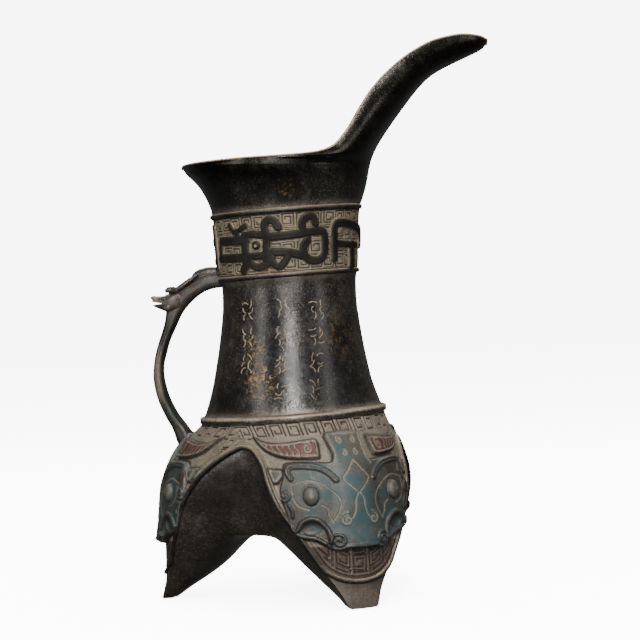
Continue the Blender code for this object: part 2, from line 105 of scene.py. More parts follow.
LOBE = [(0, 63.2), (4.5, 62.0), (9, 61.0), (18, 60.4), (27, 60.3), (34, 60.0), (41, 59.8),
        (50, 58.8), (57, 57.0), (63.5, 54.2), (68, 51.2), (72.6, 47.6), (77, 43.4),
        (79.4, 41.2), (81.0, 39.8)]
VALLEY = [(0, 48), (18, 50.9), (34, 53.0), (45, 53.5), (54, 52.0), (60, 49.9), (68, 46.7),
          (72.6, 44.2), (77, 41.9), (79.4, 41.0), (81.0, 39.8)]
EDGE_SPOUT_SIDE = [(0, 0), (5.2, 0), (9.2, 7), (11.8, 11.3), (14.8, 15.6), (18.2, 20),
                   (21.8, 24.6), (25.8, 30.5), (30.5, 38), (35.5, 46.5), (41, 55),
                   (46.5, 61.5), (52, 65.8), (60, 68.4)]
EDGE_HANDLE_SIDE = [(60, 0), (65.2, 0), (69.2, 7), (71.8, 11.3), (74.8, 15.6), (78.2, 20),
                    (82, 25.5), (87, 33.3), (92.1, 40.2), (96.1, 47), (99.3, 53.9),
                    (102.2, 60.6), (105.6, 65.1), (110, 68.1), (115, 68.8), (121.3, 66.9),
                    (129, 63.2), (137.9, 57), (144.6, 49.2), (150.6, 40), (154.6, 31.8),
                    (158, 25.5), (161.8, 20), (165.2, 15.6), (168.2, 11.3), (170.8, 7),
                    (174.8, 0), (180, 0)]
LEG_HALF = [(0, 5.4), (4.5, 8.9), (9, 11.6), (13.4, 14.4), (18, 17.9), (22, 21), (28, 25.8),
            (33, 29.1), (40, 33.5), (50, 37.2), (60, 39.0), (67, 39.8), (75, 40.6)]
LEG_ROUND = [(0, 59.4), (4.5, 55.5), (9, 51), (13.6, 47), (18, 43.9), (22, 42), (28, 39.5),
             (75, 39.5)]
LEG_NOSE = [(0, 56), (4.5, 49.5), (9, 42), (13.6, 35.2), (18, 29.9), (22.7, 25.2),
            (27.4, 18.6), (29.0, 10), (29.9, 0), (30.5, -40), (75, -60)]
NECK = [(NECK_FOOT, 40.3), (86.2, 38.9), (90.7, 37.4), (95.3, 36.1), (104.4, 34.2),
        (113.4, 32.6), (122.5, 31.3), (131, 30.4), (139, 30.3), (145, 31.2), (158, 32.0),
        (168, 32.7), (MOUTH_BASE, 33.9)]
# Mouth sections: rim point, keel point, half width at the rim, widest half width, fullness.
MOUTH = [((-33.2, 174.6), (34.6, 174.6), 0, 33.9, 2.0),
         ((-35.0, 179.6), (36.7, 180.0), 0, 35.5, 2.0),
         ((-38.6, 186.4), (38.5, 186.2), 0, 37.9, 2.0),
         ((-43.4, 190.9), (38.9, 189.6), 0, 39.4, 2.0),
         ((-45.6, 194.6), (39.3, 191.2), 0, 40.0, 2.0),
         ((-42.6, 195.5), (39.4, 191.6), 14.4, 40.0, 2.0),
         ((-32.0, 195.9), (39.6, 192.1), 28.6, 40.0, 2.0),
         ((-15.0, 196.3), (39.8, 192.8), 37.8, 40.0, 2.0),
         ((3.0, 196.6), (40.1, 193.6), 39.6, 39.6, 2.0),
         ((16.5, 197.4), (40.5, 194.9), 36.0, 36.0, 2.05),
         ((24.6, 199.8), (41.4, 197.2), 31.8, 31.8, 2.1),
         ((31.2, 206.8), (43.9, 201.6), 27.8, 27.8, 2.2),
         ((36.9, 216.2), (48.8, 208.4), 25.0, 25.0, 2.3),
         ((43.2, 225.4), (55.2, 216.6), 22.6, 22.6, 2.35),
         ((50.8, 233.2), (62.4, 225.2), 20.8, 20.8, 2.4),
         ((60.4, 240.4), (68.8, 231.2), 18.8, 18.8, 2.4),
         ((72.2, 246.0), (77.0, 235.2), 16.2, 16.2, 2.4),
         ((83.8, 248.0), (85.8, 238.8), 12.8, 12.8, 2.3),
         ((91.2, 247.3), (91.6, 241.2), 8.6, 8.6, 2.2),
         ((94.8, 246.0), (94.4, 243.8), 4.0, 4.0, 2.0)]
RIM_START = 4
HANDLE = [((-50.0, 64.5), (-43.0, 69.5)), ((-53.0, 69.5), (-46.6, 75.0)),
          ((-55.2, 76.2), (-49.3, 79.0)), ((-58.0, 81.7), (-52.4, 83.4)),
          ((-61.3, 89.6), (-55.9, 90.8)), ((-63.0, 98.4), (-57.9, 98.8)),
          ((-62.6, 105.6), (-58.0, 105.2)), ((-61.2, 112.2), (-56.4, 111.2)),
          ((-59.0, 118.4), (-54.5, 117.0)), ((-57.0, 124.0), (-51.4, 123.2)),
          ((-56.0, 129.6), (-48.6, 128.6)), ((-55.6, 136.0), (-45.6, 132.2)),
          ((-51.0, 139.8), (-42.4, 135.2)), ((-44.4, 142.8), (-38.9, 137.6)),
          ((-39.4, 145.8), (-35.6, 138.9)), ((-33.6, 146.8), (-32.0, 139.6)),
          ((-28.8, 147.0), (-28.6, 139.8))]
HEAD = [((-48.0, 140.2), (-48.0, 129.4), 4.2), ((-51.0, 139.4), (-51.0, 129.0), 5.2),
        ((-54.5, 138.0), (-54.5, 129.2), 5.6), ((-57.0, 137.0), (-56.8, 130.2), 5.0),
        ((-60.4, 137.0), (-60.0, 131.6), 4.2), ((-62.0, 136.4), (-61.6, 132.4), 3.0)]

# Neck band: raised strokes as (angle right of the front, height) and half width.
BAND_STROKES = [
    ([(-55.3, 160.4), (-42, 160.2), (-28.7, 160.2)], 1.7),
    ([(-62.1, 152.7), (-45, 152.5), (-29.8, 152.5)], 1.6),
    ([(-57.7, 160.9), (-59.5, 157.5), (-60.7, 153.8)], 1.2),
    ([(-29.4, 161.9), (-30.4, 156.5), (-29.2, 151), (-33.2, 146.9)], 1.7),
    ([(-44.4, 167.2), (-41.5, 164.6), (-38, 163.7), (-33.5, 165.0), (-28.5, 166.6)], 0.9),
    ([(-37.6, 163.9), (-35.6, 160.8)], 1.3),
    ([(-30.6, 162.0), (-24, 162.5), (-18.8, 162.3), (-12.4, 161.8)], 1.3),
    ([(-28.4, 153.0), (-20, 152.8), (-11.6, 153.3)], 1.3),
    ([(-12.8, 151.8), (-11.9, 157), (-11.7, 161.4), (-12.6, 166.2), (-9.6, 168.5),
      (-5.4, 168.1), (-2.2, 165.2)], 1.5),
    ([(-10.6, 161), (1.9, 161.3), (15.7, 162), (28, 162.9), (33.2, 162.3), (34.9, 159.6),
      (34.5, 153.5), (31, 150.6), (26, 149.9), (20.6, 150.6), (17, 153.2), (17.2, 156.6),
      (20.3, 158.9)], 1.5),
    ([(17.3, 162.4), (16.2, 166.4), (19.0, 169.2), (24.6, 169.2), (27, 166.2)], 1.4),
    ([(-9.7, 154.3), (3.6, 154), (15.2, 152.4)], 1.5),
    ([(-27.5, 151.6), (-24.6, 149.0), (-19.5, 147.9), (-11.9, 149.3), (-8.4, 151.7)], 1.4),
    ([(-8.6, 149.9), (-2.4, 147.8), (2.5, 150.5), (4.7, 152.6)], 1.3),
    ([(44.1, 150.6), (44.1, 158), (44.4, 164.6), (50, 166.2), (65.2, 165.5), (78, 163.8),
      (86, 160.4), (87, 156.5)], 1.5),
    ([(48.5, 157.1), (62, 156.6), (74, 156.4)], 1.2),
    ([(65.9, 156.2), (66.2, 147.4)], 2.0),
    ([(-74, 166.5), (-74, 148.5)], 1.5), ([(-86, 160), (-74, 160.4)], 1.5),
    ([(-84, 151.4), (-76, 151.4)], 1.3)]
BAND_EYE = (-20.6, 157.5, 2.2)

# Beast mask, one half: outline of the raised face, then its cords and engraved lines.
FACE = [(0, 74.4), (9.4, 73.8), (9.2, 70), (8.2, 66.4), (8.6, 63.0), (12, 62.3), (20, 63.0),
        (29.6, 62.7), (31.2, 60.4), (31.4, 56), (32.6, 51.6), (31.6, 47), (29.8, 42),
        (28.8, 37), (27.6, 33.4), (23.6, 31.0), (18.4, 30.0), (14.4, 27.6), (11.4, 26.0),
        (8.6, 25.6), (5.4, 26.3), (0, 25.9)]
FACE_RISE = [(25.2, 4.1), (27.5, 4.5), (31, 4.3), (36, 3.7), (41, 3.4), (48, 3.4), (54, 3.0),
             (62, 2.4), (70, 2.1), (75, 1.7)]
FACE_WIDTH = [(25.2, 15.5), (31, 15.5), (38, 13), (45, 11), (52, 10.5), (58, 10.5), (64, 13),
              (75, 15)]
WING = [(49.5, 74.0), (44, 70.0), (38, 66.9), (30.4, 64.9), (22, 64.2), (15.2, 64.2),
        (13.9, 65.6), (13.9, 70.6), (15.4, 72.2), (22, 71.7), (30, 71.0), (38, 71.0),
        (44, 72.1)]
EAR = [(38.9, 60.6), (31.8, 60.2), (31.0, 57.4), (33.6, 54.6), (35.6, 54.4)]
BROW = [(27.6, 56.4), (29.2, 59.0), (27.8, 60.9), (22, 61.1), (15.5, 60.2), (11.2, 57.8),
        (8.8, 55.0)]
LIP = [(12.4, 29.6), (12.6, 32.4), (13.8, 35.4), (16.6, 38.6), (20.2, 39.6), (23.6, 38.0),
       (25.6, 34.8), (28.0, 33.8)]
LIP_LOW = [(28.2, 35.8), (26.4, 33.2), (22.8, 31.9), (18.4, 31.0), (14.6, 28.8)]
LIP_MID = [(0, 27.0), (3, 27.1), (6.4, 26.9)]
FACE_LINES = [
    [(0.1, 62.2), (2.8, 58.8), (5.6, 55.2), (3.0, 52.0), (0.1, 49.2)],
    [(0.4, 49.2), (1.8, 46.4), (2.0, 43.4), (2.6, 41.0), (3.6, 39.0)],
    [(27.8, 53.6), (24.5, 54.6), (20, 55.3), (15.6, 54.0), (12.2, 51.8), (8.8, 48.8),
     (7.6, 45.4), (8.6, 41.8), (11.0, 37.8)],
    [(27.4, 52.4), (26.6, 47.6), (23.6, 44.4), (20.2, 43.4)],
    [(15.4, 45.2), (13.0, 43.4), (12.6, 40.8), (11.0, 37.8)],
    [(8.4, 72.8), (7.9, 70.0), (7.1, 66.6), (7.4, 63.6), (9.2, 60.6)],
    [(5.8, 72.9), (3.2, 73.1), (0, 72.9)]]
MASK_EYE = (19.4, 49.0, 3.3, 3.9)
WING_SCROLL = (19.4, 68.2)
CROSS_CORD = [(19.2, None), (16.6, 18.6), (13.6, 15.7), (9.2, 13.2), (4.6, 11.9), (0, 11.5)]


class Curve:
    """A smooth monotone curve through a table of (x, y) points."""

    def __init__(self, table):
        points = np.array(table, float)
        self.x = points[:, 0]
        self.y = points[:, 1]
        self.h = np.diff(self.x)
        slope = np.diff(self.y) / self.h
        bend = np.zeros(len(self.x))
        bend[0] = slope[0]
        bend[-1] = slope[-1]
        for i in range(1, len(self.x) - 1):
            if slope[i - 1] * slope[i] > 0:
                a = 2 * self.h[i] + self.h[i - 1]
                b = self.h[i] + 2 * self.h[i - 1]
                bend[i] = (a + b) / (a / slope[i - 1] + b / slope[i])
        self.m = bend

    def __call__(self, q):
        q = np.asarray(q, float)
        i = np.clip(np.searchsorted(self.x, q) - 1, 0, len(self.h) - 1)
        h = self.h[i]
        t = np.clip((q - self.x[i]) / h, 0.0, 1.0)
        start = (1 + 2 * t) * (1 - t) ** 2 * self.y[i] + t * (1 - t) ** 2 * h * self.m[i]
        return start + t * t * (3 - 2 * t) * self.y[i + 1] + t * t * (t - 1) * h * self.m[i + 1]


lobe_at = Curve(LOBE)
valley_at = Curve(VALLEY)
edge_spout_at = Curve(EDGE_SPOUT_SIDE)
edge_handle_at = Curve(EDGE_HANDLE_SIDE)
neck_at = Curve(NECK)
half_at = Curve(LEG_HALF)
round_at = Curve(LEG_ROUND)
nose_at = Curve(LEG_NOSE)
face_rise_at = Curve(FACE_RISE)
face_width_at = Curve(FACE_WIDTH)


def fold(theta):
    """Angle from +X in 0..180 and the angle off the nearest leg in 0..60."""
    t = np.abs((np.asarray(theta, float) + 180.0) % 360.0 - 180.0)
    return t, np.minimum(np.abs(t - 60.0), np.abs(t - 180.0))


def body_radius(theta, z):
    """Radius of the lobed body, fullest on each leg and drawn in between."""
    psi = fold(theta)[1]
    dip = (1 - np.cos(np.radians(3 * psi))) / 2
    return lobe_at(z) * (1 - dip) + valley_at(z) * dip


def edge_height(theta, spread=0.0):
    """Height of the arched lower edge, the same for both sides of the vessel."""
    t, psi = fold(theta)
    grown = np.minimum(psi + spread, 60.0)
    far = np.where(t <= ARCH_TOP, np.minimum(t + spread, ARCH_TOP),
                   np.maximum(t - spread, ARCH_TOP))
    return np.maximum(np.where(t <= 60.0, edge_spout_at(grown), edge_handle_at(far)), 0.0)


def leg_height(out, side):
    """Underside of one leg, found by halving, over distance out and distance aside."""
    low = np.zeros(np.broadcast(out, side).shape)
    high = np.full(low.shape, 72.0)
    for _ in range(24):
        z = 0.5 * (low + high)
        start = round_at(z)
        reach = np.abs(side) / half_at(z)
        inner = np.hypot(reach, np.maximum(start - out, 0) / (start - nose_at(z)))
        outside = inner > 1.0
        low = np.where(outside, z, low)
        high = np.where(outside, high, z)
    return np.where(high > 0.01, high, 0.0)


def joined_height(psi, radius, soft=1.0):
    """Underside of the three legs together, rounded where two of them meet."""
    total = 0.0
    for turn in (0.0, 2 * math.pi / 3, -2 * math.pi / 3):
        h = leg_height(radius * np.cos(psi + turn), radius * np.abs(np.sin(psi + turn)))
        total = total + np.exp(-h / soft)
    here = -soft * np.log(total) + soft * math.log(3) * np.exp(-(radius / 13.0) ** 2)
    near = leg_height(radius * np.cos(psi), radius * np.abs(np.sin(psi)))
    return np.where(near < 3.0, near, here)


def under_height(theta, radius, spread=0.0):
    """Underside of the vessel, brought up to the arched edge at its rim."""
    psi = np.radians(np.minimum(fold(theta)[1] + spread, 60.0))
    edge = edge_height(theta, spread)
    rim = body_radius(theta, edge)
    t = np.clip(1.0 - radius / rim, 0.0, 1.0)
    here = joined_height(psi, radius)
    there = joined_height(psi, rim)
    return np.maximum(here + (edge - there) * np.maximum(1 - t / 0.3, 0.0) ** 2, 0.0)


def place(theta, radius, z, slope=True):
    """Points in millimetres; rings above the shoulder rise a little toward the spout."""
    theta, radius, z = np.broadcast_arrays(theta, radius, z)
    x = radius * np.cos(np.radians(theta))
    y = radius * np.sin(np.radians(theta))
    shift, low, high = LEAN
    lean = shift * np.clip((z - low) / (high - low), 0.0, 1.0)
    if slope:
        z = z + RING_SLOPE * x * np.clip((z - 71.0) / 9.0, 0.0, 1.0)
    return np.stack([x + lean, y, z], -1)


def normals(shape, theta, z, da=0.4, dz=0.3):
    """Outward unit normals of place(theta, shape(theta, z), z)."""
    def at(t, h):
        return place(t, shape(t, h), h)
    across = at(theta + da, z) - at(theta - da, z)
    up = at(theta, z + dz) - at(theta, z - dz)
    n = np.cross(across, up)
    return n / np.linalg.norm(n, axis=-1, keepdims=True)


def smooth_path(points, parts=6):
    """A rounded path through the points."""
    p = np.array(points, float)
    if len(p) < 3:
        return p
    p = np.vstack([2 * p[0] - p[1], p, 2 * p[-1] - p[-2]])
    path = []
    for i in range(1, len(p) - 2):
        for k in range(parts):
            t = k / parts
            path.append(0.5 * (2 * p[i] + (p[i + 1] - p[i - 1]) * t
                               + (2 * p[i - 1] - 5 * p[i] + 4 * p[i + 1] - p[i + 2]) * t * t
                               + (3 * p[i] - p[i - 1] - 3 * p[i + 1] + p[i + 2]) * t ** 3))
    path.append(p[-2])
    return np.array(path)


def spiral(middle, radius, turns, start, hand=1, scale=1.0):
    """A scroll in (angle, height) from its outer end in; scale is degrees per millimetre."""
    t = np.linspace(0, 1, int(14 * turns) + 2)
    a = np.radians(start) + hand * 2 * math.pi * turns * t
    r = radius * (1 - 0.86 * t)
    return np.stack([middle[0] + r * np.cos(a) * scale, middle[1] + r * np.sin(a)], -1)


def near_path(x, z, path, reach):
    """Distance of every grid point to a path, exact up to reach."""
    best = np.full(x.shape, 1e3)
    low = path.min(0) - reach
    high = path.max(0) + reach
    inside = (x > low[0]) & (x < high[0]) & (z > low[1]) & (z < high[1])
    px = x[inside]
    pz = z[inside]
    found = np.full(px.shape, 1e3)
    for a, b in zip(path[:-1], path[1:]):
        d = b - a
        length = max(float(d @ d), 1e-9)
        t = np.clip(((px - a[0]) * d[0] + (pz - a[1]) * d[1]) / length, 0, 1)
        found = np.minimum(found, np.hypot(px - a[0] - t * d[0], pz - a[1] - t * d[1]))
    best[inside] = found
    return best


def outline_distance(x, z, outline, reach=6.0):
    """Signed distance to a closed outline, negative inside."""
    p = np.array(outline, float)
    q = np.roll(p, -1, 0)
    d = near_path(x, z, np.vstack([p, p[:1]]), reach)
    inside = np.zeros(x.shape, bool)
    for a, b in zip(p, q):
        if a[1] != b[1]:
            crosses = (a[1] > z) != (b[1] > z)
            inside ^= crosses & (x < (b[0] - a[0]) * (z - a[1]) / (b[1] - a[1]) + a[0])
    return np.where(inside, -d, d)


def step(value, low, high):
    """0 below low, 1 above high, smooth between."""
    t = np.clip((value - low) / (high - low), 0, 1)
    return t * t * (3 - 2 * t)


def cord(d, half):
    """Rounded section of a raised cord, 1 on its crown."""
    return np.sqrt(np.clip(1 - (d / half) ** 2, 0, 1))


def slab(d, half, soft=0.5):
    """Flat-topped section, 1 on top."""
    return 1 - step(d, half - soft, half)


def thunder(u, v, half, pitch):
    """Line mask of a squared spiral in a cell that reaches half each way."""
    upper = np.maximum(np.abs(u), np.abs(v)) / pitch
    lower = np.maximum(np.abs(u - pitch / 2), np.abs(v)) / pitch - 0.5
    phase = np.where(v > 0, upper, lower)
    gap = np.abs(phase - np.round(phase)) * pitch
    line = 1 - step(gap, 0.14 * pitch, 0.34 * pitch)
    keep = (np.abs(u) < half) & (np.abs(v) < half) & (phase > 0.3)
    return line * keep


def blur(grid, size, wrap=False):
    """Box mean over (2 * size + 1) cells each way, three times."""
    for _ in range(3):
        for axis in (0, 1):
            mode = "wrap" if wrap and axis == 1 else "edge"
            pad = [(0, 0), (0, 0)]
            pad[axis] = (size + 1, size)
            total = np.cumsum(np.pad(grid, pad, mode=mode), axis)
            n = grid.shape[axis]
            upper = np.take(total, range(2 * size + 1, 2 * size + 1 + n), axis)
            lower = np.take(total, range(0, n), axis)
            grid = (upper - lower) / (2 * size + 1)
    return grid


def ripple(x, z, seed):
    """Gentle unevenness of a hand-finished casting, between about -1 and 1."""
    rng = np.random.default_rng(seed)
    total = np.zeros(np.broadcast(x, z).shape)
    for _ in range(9):
        fx, fz = rng.uniform(-0.9, 0.9, 2)
        total += np.sin(fx * x + fz * z + rng.uniform(0, 6.3))
    return total / 4


def new_piece(name, points, faces, material, patina=None, sharp=None):
    """A mesh object from points in millimetres and arrays of three or four corners."""
    points = np.asarray(points, float).reshape(-1, 3)
    mesh = bpy.data.meshes.new(name)
    world = points * MM
    world[:, 0] += AXIS_X * MM
    mesh.vertices.add(len(world))
    mesh.vertices.foreach_set("co", world.astype(np.float32).ravel())
    loops = np.concatenate([np.asarray(f, np.int32).ravel() for f in faces])
    sizes = np.concatenate([np.full(len(f), np.asarray(f).shape[1], np.int32) for f in faces])
    starts = np.concatenate([[0], np.cumsum(sizes)[:-1]]).astype(np.int32)
    mesh.loops.add(len(loops))
    mesh.loops.foreach_set("vertex_index", loops)
    mesh.polygons.add(len(sizes))
    mesh.polygons.foreach_set("loop_start", starts)
    mesh.polygons.foreach_set("loop_total", sizes)
    mesh.update(calc_edges=True)
    mesh.polygons.foreach_set("use_smooth", np.ones(len(sizes), bool))
    if patina is not None:
        set_patina(mesh, patina)
    if sharp:
        mesh.set_sharp_from_angle(angle=math.radians(sharp))
    obj = bpy.data.objects.new(name, mesh)
    bpy.context.scene.collection.objects.link(obj)
    mesh.materials.append(material)
    return obj


def set_patina(mesh, patina):
    """Stores dirt, blue-green, red, and wear with painted highlights for the material, one value
    each a point; low dirt also paints shade.
    """
    layer = mesh.attributes.new("patina", "FLOAT_COLOR", "POINT")
    values = np.clip(np.asarray(patina, np.float32).reshape(-1, 4), 0, 1)
    layer.data.foreach_set("color", values.ravel())


def finish_piece(obj):
    """The piece rides on the vessel's one body."""
    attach(obj, "root")
    return obj


def zip_rows(a, b, ka, kb):
    """Triangles between two rows of point numbers with rising keys."""
    faces = []
    i = 0
    j = 0
    while i < len(a) - 1 or j < len(b) - 1:
        if j == len(b) - 1 or (i < len(a) - 1 and ka[i + 1] <= kb[j + 1]):
            faces.append((a[i], b[j], a[i + 1]))
            i += 1
        else:
            faces.append((a[i], b[j], b[j + 1]))
            j += 1
    return [f for f in faces if len(set(f)) == 3]


def quads(index):
    """Quads of a grid of point numbers, rows downward and columns anticlockwise."""
    return np.stack([index[:-1, :-1], index[1:, :-1], index[1:, 1:], index[:-1, 1:]],
                    -1).reshape(-1, 4)


def split_flat(faces):
    """Drops corners that fall together: quads, triangles or nothing are left."""
    same = [faces[:, k] == faces[:, (k + 1) % 4] for k in range(4)]
    count = sum(s.astype(int) for s in same)
    whole = faces[count == 0]
    thin = [faces[(count == 1) & same[k]][:, [c for c in range(4) if c != k]] for k in range(4)]
    return whole, np.concatenate(thin)


class Socket:
    """One output of a shader node; arithmetic on it adds Math nodes."""

    def __init__(self, nodes, link):
        self.nodes = nodes
        self.link = link

    def _math(self, operation, *values):
        return self.nodes.add("ShaderNodeMath", {"operation": operation}, *values)

    def __add__(self, other):
        return self._math("ADD", self, other)

    def __sub__(self, other):
        return self._math("SUBTRACT", self, other)

    def __rsub__(self, other):
        return self._math("SUBTRACT", other, self)

    def __mul__(self, other):
        return self._math("MULTIPLY", self, other)

    def __truediv__(self, other):
        return self._math("DIVIDE", self, other)

    def __pow__(self, other):
        return self._math("POWER", self, other)

    __radd__ = __add__
    __rmul__ = __mul__

    def band(self, low, high):
        """0 below low, 1 above high, smooth between."""
        settings = {"interpolation_type": "SMOOTHSTEP", "clamp": True}
        return self.nodes.add("ShaderNodeMapRange", settings, self, low, high, 0.0, 1.0)

    def clamp(self):
        return self.nodes.add("ShaderNodeClamp", {}, self, 0.0, 1.0)


class Nodes:
    """Adds nodes to a material's tree."""

    def __init__(self, material):
        material.use_nodes = True
        self.tree = material.node_tree
        self.tree.nodes.clear()

    def raw(self, kind, settings, *values, **named):
        node = self.tree.nodes.new(kind)
        for key, value in settings.items():
            setattr(node, key, value)
        pairs = list(zip(node.inputs, values))
        pairs += [(node.inputs[key.replace("_", " ")], value) for key, value in named.items()]
        for socket, value in pairs:
            if isinstance(value, Socket):
                self.tree.links.new(value.link, socket)
            elif value is not None:
                socket.default_value = value
        return node

    def add(self, kind, settings, *values, out=0, **named):
        return Socket(self, self.raw(kind, settings, *values, **named).outputs[out])

    def mix(self, factor, first, second, blend="MIX"):
        node = self.tree.nodes.new("ShaderNodeMix")
        node.data_type = "RGBA"
        node.blend_type = blend
        for socket, value in ((node.inputs[0], factor), (node.inputs[6], first),
                              (node.inputs[7], second)):
            if isinstance(value, Socket):
                self.tree.links.new(value.link, socket)
            else:
                socket.default_value = value
        return Socket(self, node.outputs[2])

    def noise(self, place, scale, detail=4.0, rough=0.6):
        return self.add("ShaderNodeTexNoise", {}, place, None, scale, detail, rough)

    def spot(self, place, middle, radius):
        """1 near a place on the object, fading to 0 at the radius."""
        away = self.add("ShaderNodeVectorMath", {"operation": "DISTANCE"}, place, middle, out=1)
        return 1 - away.band(radius * 0.35, radius)


def bronze(name, colours, dust=0.25, gloss=0.34, shine=0.5, tooth=0.32):
    """Dark patinated bronze; every piece carries its dirt, blue, red, and its wear with painted
    highlights; low dirt paints shade.
    """
    material = bpy.data.materials.new(name)
    nodes = Nodes(material)
    place_on = nodes.add("ShaderNodeTexCoord", {}, out=3)
    broad = nodes.noise(place_on, 26.0, 5.0, 0.62)
    mottle = nodes.noise(place_on, 120.0, 6.0, 0.7)
    grain = nodes.noise(place_on, 620.0, 4.0, 0.65)
    dark = tuple(colours.dark) + (1.0,)
    brown = tuple(colours.brown) + (1.0,)
    grey = tuple(colours.grey) + (1.0,)
    khaki = tuple(colours.dirt) + (1.0,)
    blue = tuple(colours.teal) + (1.0,)
    red = tuple(colours.red) + (1.0,)
    rust = tuple(colours.rust) + (1.0,)
    worn = tuple(colours.worn) + (1.0,)
    fleck = nodes.noise(place_on, 1150.0, 3.0, 0.7)
    colour = nodes.mix(broad.band(0.42, 0.62), dark, brown)
    haze = mottle.band(0.50, 0.74) * (0.7 * dust) + fleck.band(0.54, 0.68) * (0.85 * dust)
    colour = nodes.mix(haze, colour, grey)
    height = nodes.raw("ShaderNodeSeparateXYZ", {}, place_on)
    high_part = Socket(nodes, height.outputs[2]).band(0.176, 0.192)
    film = ((mottle.band(0.46, 0.74) * 0.5 + fleck.band(0.52, 0.64) * 0.9)
            * broad.band(0.38, 0.6)) * (1 - high_part * 0.65) * dust
    colour = nodes.mix(film, colour, khaki)
    soil = film * 0.5
    layer = nodes.add("ShaderNodeAttribute", {"attribute_name": "patina"})
    parts = nodes.raw("ShaderNodeSeparateColor", {}, layer)
    dirt = Socket(nodes, parts.outputs[0])
    green = Socket(nodes, parts.outputs[1])
    warm = Socket(nodes, parts.outputs[2])
    wear_and_highlight = Socket(nodes, layer.link.node.outputs["Alpha"])
    colour = nodes.mix((warm * (0.5 + mottle * 0.8)).clamp(), colour, red)
    patch = (broad.band(0.42, 0.58) * 0.6 + mottle.band(0.44, 0.60) * 0.5).clamp()
    green_film = green * patch
    colour = nodes.mix(green_film.clamp(), colour, blue)
    # Pale dirt from the first patina value; where a piece keeps it low the dark metal shows,
    # painted shade in grooves and along edges.
    earth = (dirt + green * (1 - patch) * 0.42).clamp()
    crusted = (earth * (0.34 + fleck.band(0.36, 0.62) * 0.40 + mottle.band(0.34, 0.6) * 0.24
                        + broad.band(0.36, 0.6) * 0.14)).clamp()
    colour = nodes.mix(crusted, colour, khaki)
    # Worn metal from the fourth patina value, which also carries painted highlights on top edges,
    # the rim, the cords and the eye domes.
    colour = nodes.mix((wear_and_highlight * (0.35 + grain.band(0.35, 0.6) * 0.5)).clamp(), colour, worn)
    soil = (soil + crusted * 0.6 + green_film * 0.3).clamp()
    left = nodes.spot(place_on, ((AXIS_X - 12) * MM, -0.033, 0.098), 0.0105)
    left = left + nodes.spot(place_on, ((AXIS_X - 14) * MM, -0.029, 0.112), 0.0075)
    right = nodes.spot(place_on, ((AXIS_X + 24) * MM, -0.022, 0.117), 0.015)
    high = nodes.spot(place_on, ((AXIS_X + 4.5) * MM, -0.036, 0.1805), 0.0045) * 0.6
    speck = nodes.noise(place_on, 520.0, 6.0, 0.75)
    bloom = ((left + right * 0.3 + high) * speck.band(0.50, 0.62)).clamp()
    colour = nodes.mix(bloom * 0.75, colour, rust)
    rough = gloss + mottle.band(0.3, 0.7) * 0.14 + grain * 0.06 + soil * 0.34 + bloom * 0.2
    rise = mottle * 0.35 + grain * 0.65
    bump = nodes.add("ShaderNodeBump", {}, tooth, 0.00022, Height=rise)
    shader = nodes.raw("ShaderNodeBsdfPrincipled", {}, colour)
    shader.inputs["Specular IOR Level"].default_value = shine
    metal = 0.55 + high_part * 0.4 - soil * 0.5 - wear_and_highlight * 0.8
    for key, value in (("Roughness", rough.clamp()), ("Metallic", metal.clamp()),
                       ("Normal", bump)):
        nodes.tree.links.new(value.link, shader.inputs[key])
    out = nodes.tree.nodes.new("ShaderNodeOutputMaterial")
    nodes.tree.links.new(shader.outputs[0], out.inputs[0])
    return material


def material_for(context, kind):
    """The finish of that name, made once."""
    found = bpy.data.materials.get(kind)
    if found:
        return found
    colours = context.scene.ewer_colours
    made = {"neck bronze": (0.34, 0.18, 0.5, 0.75), "band bronze": (0.04, 0.42, 0.08, 0.4),
            "relief bronze": (0.2, 0.38, 0.4, 0.4), "handle bronze": (0.10, 0.24, 0.2, 0.6),
            "cord bronze": (0.3, 0.34, 0.4, 0.4)}
    return bronze(kind, colours, *made[kind])


def column_angles(fine):
    """Angles of the shell from -180 to 180 that fall on both edges of every foot."""
    narrow = np.linspace(0, 5.2, 4)
    wide = 5.2 + (60 - 5.2) * np.linspace(0, 1, fine) ** 1.05
    half = np.concatenate([narrow, wide[1:]])
    angles = []
    for leg in (-180.0, -60.0, 60.0, 180.0):
        angles += list(leg - half) + list(leg + half)
    angles = np.unique(np.round(angles, 5))
    return angles[(angles >= -180) & (angles <= 180)]


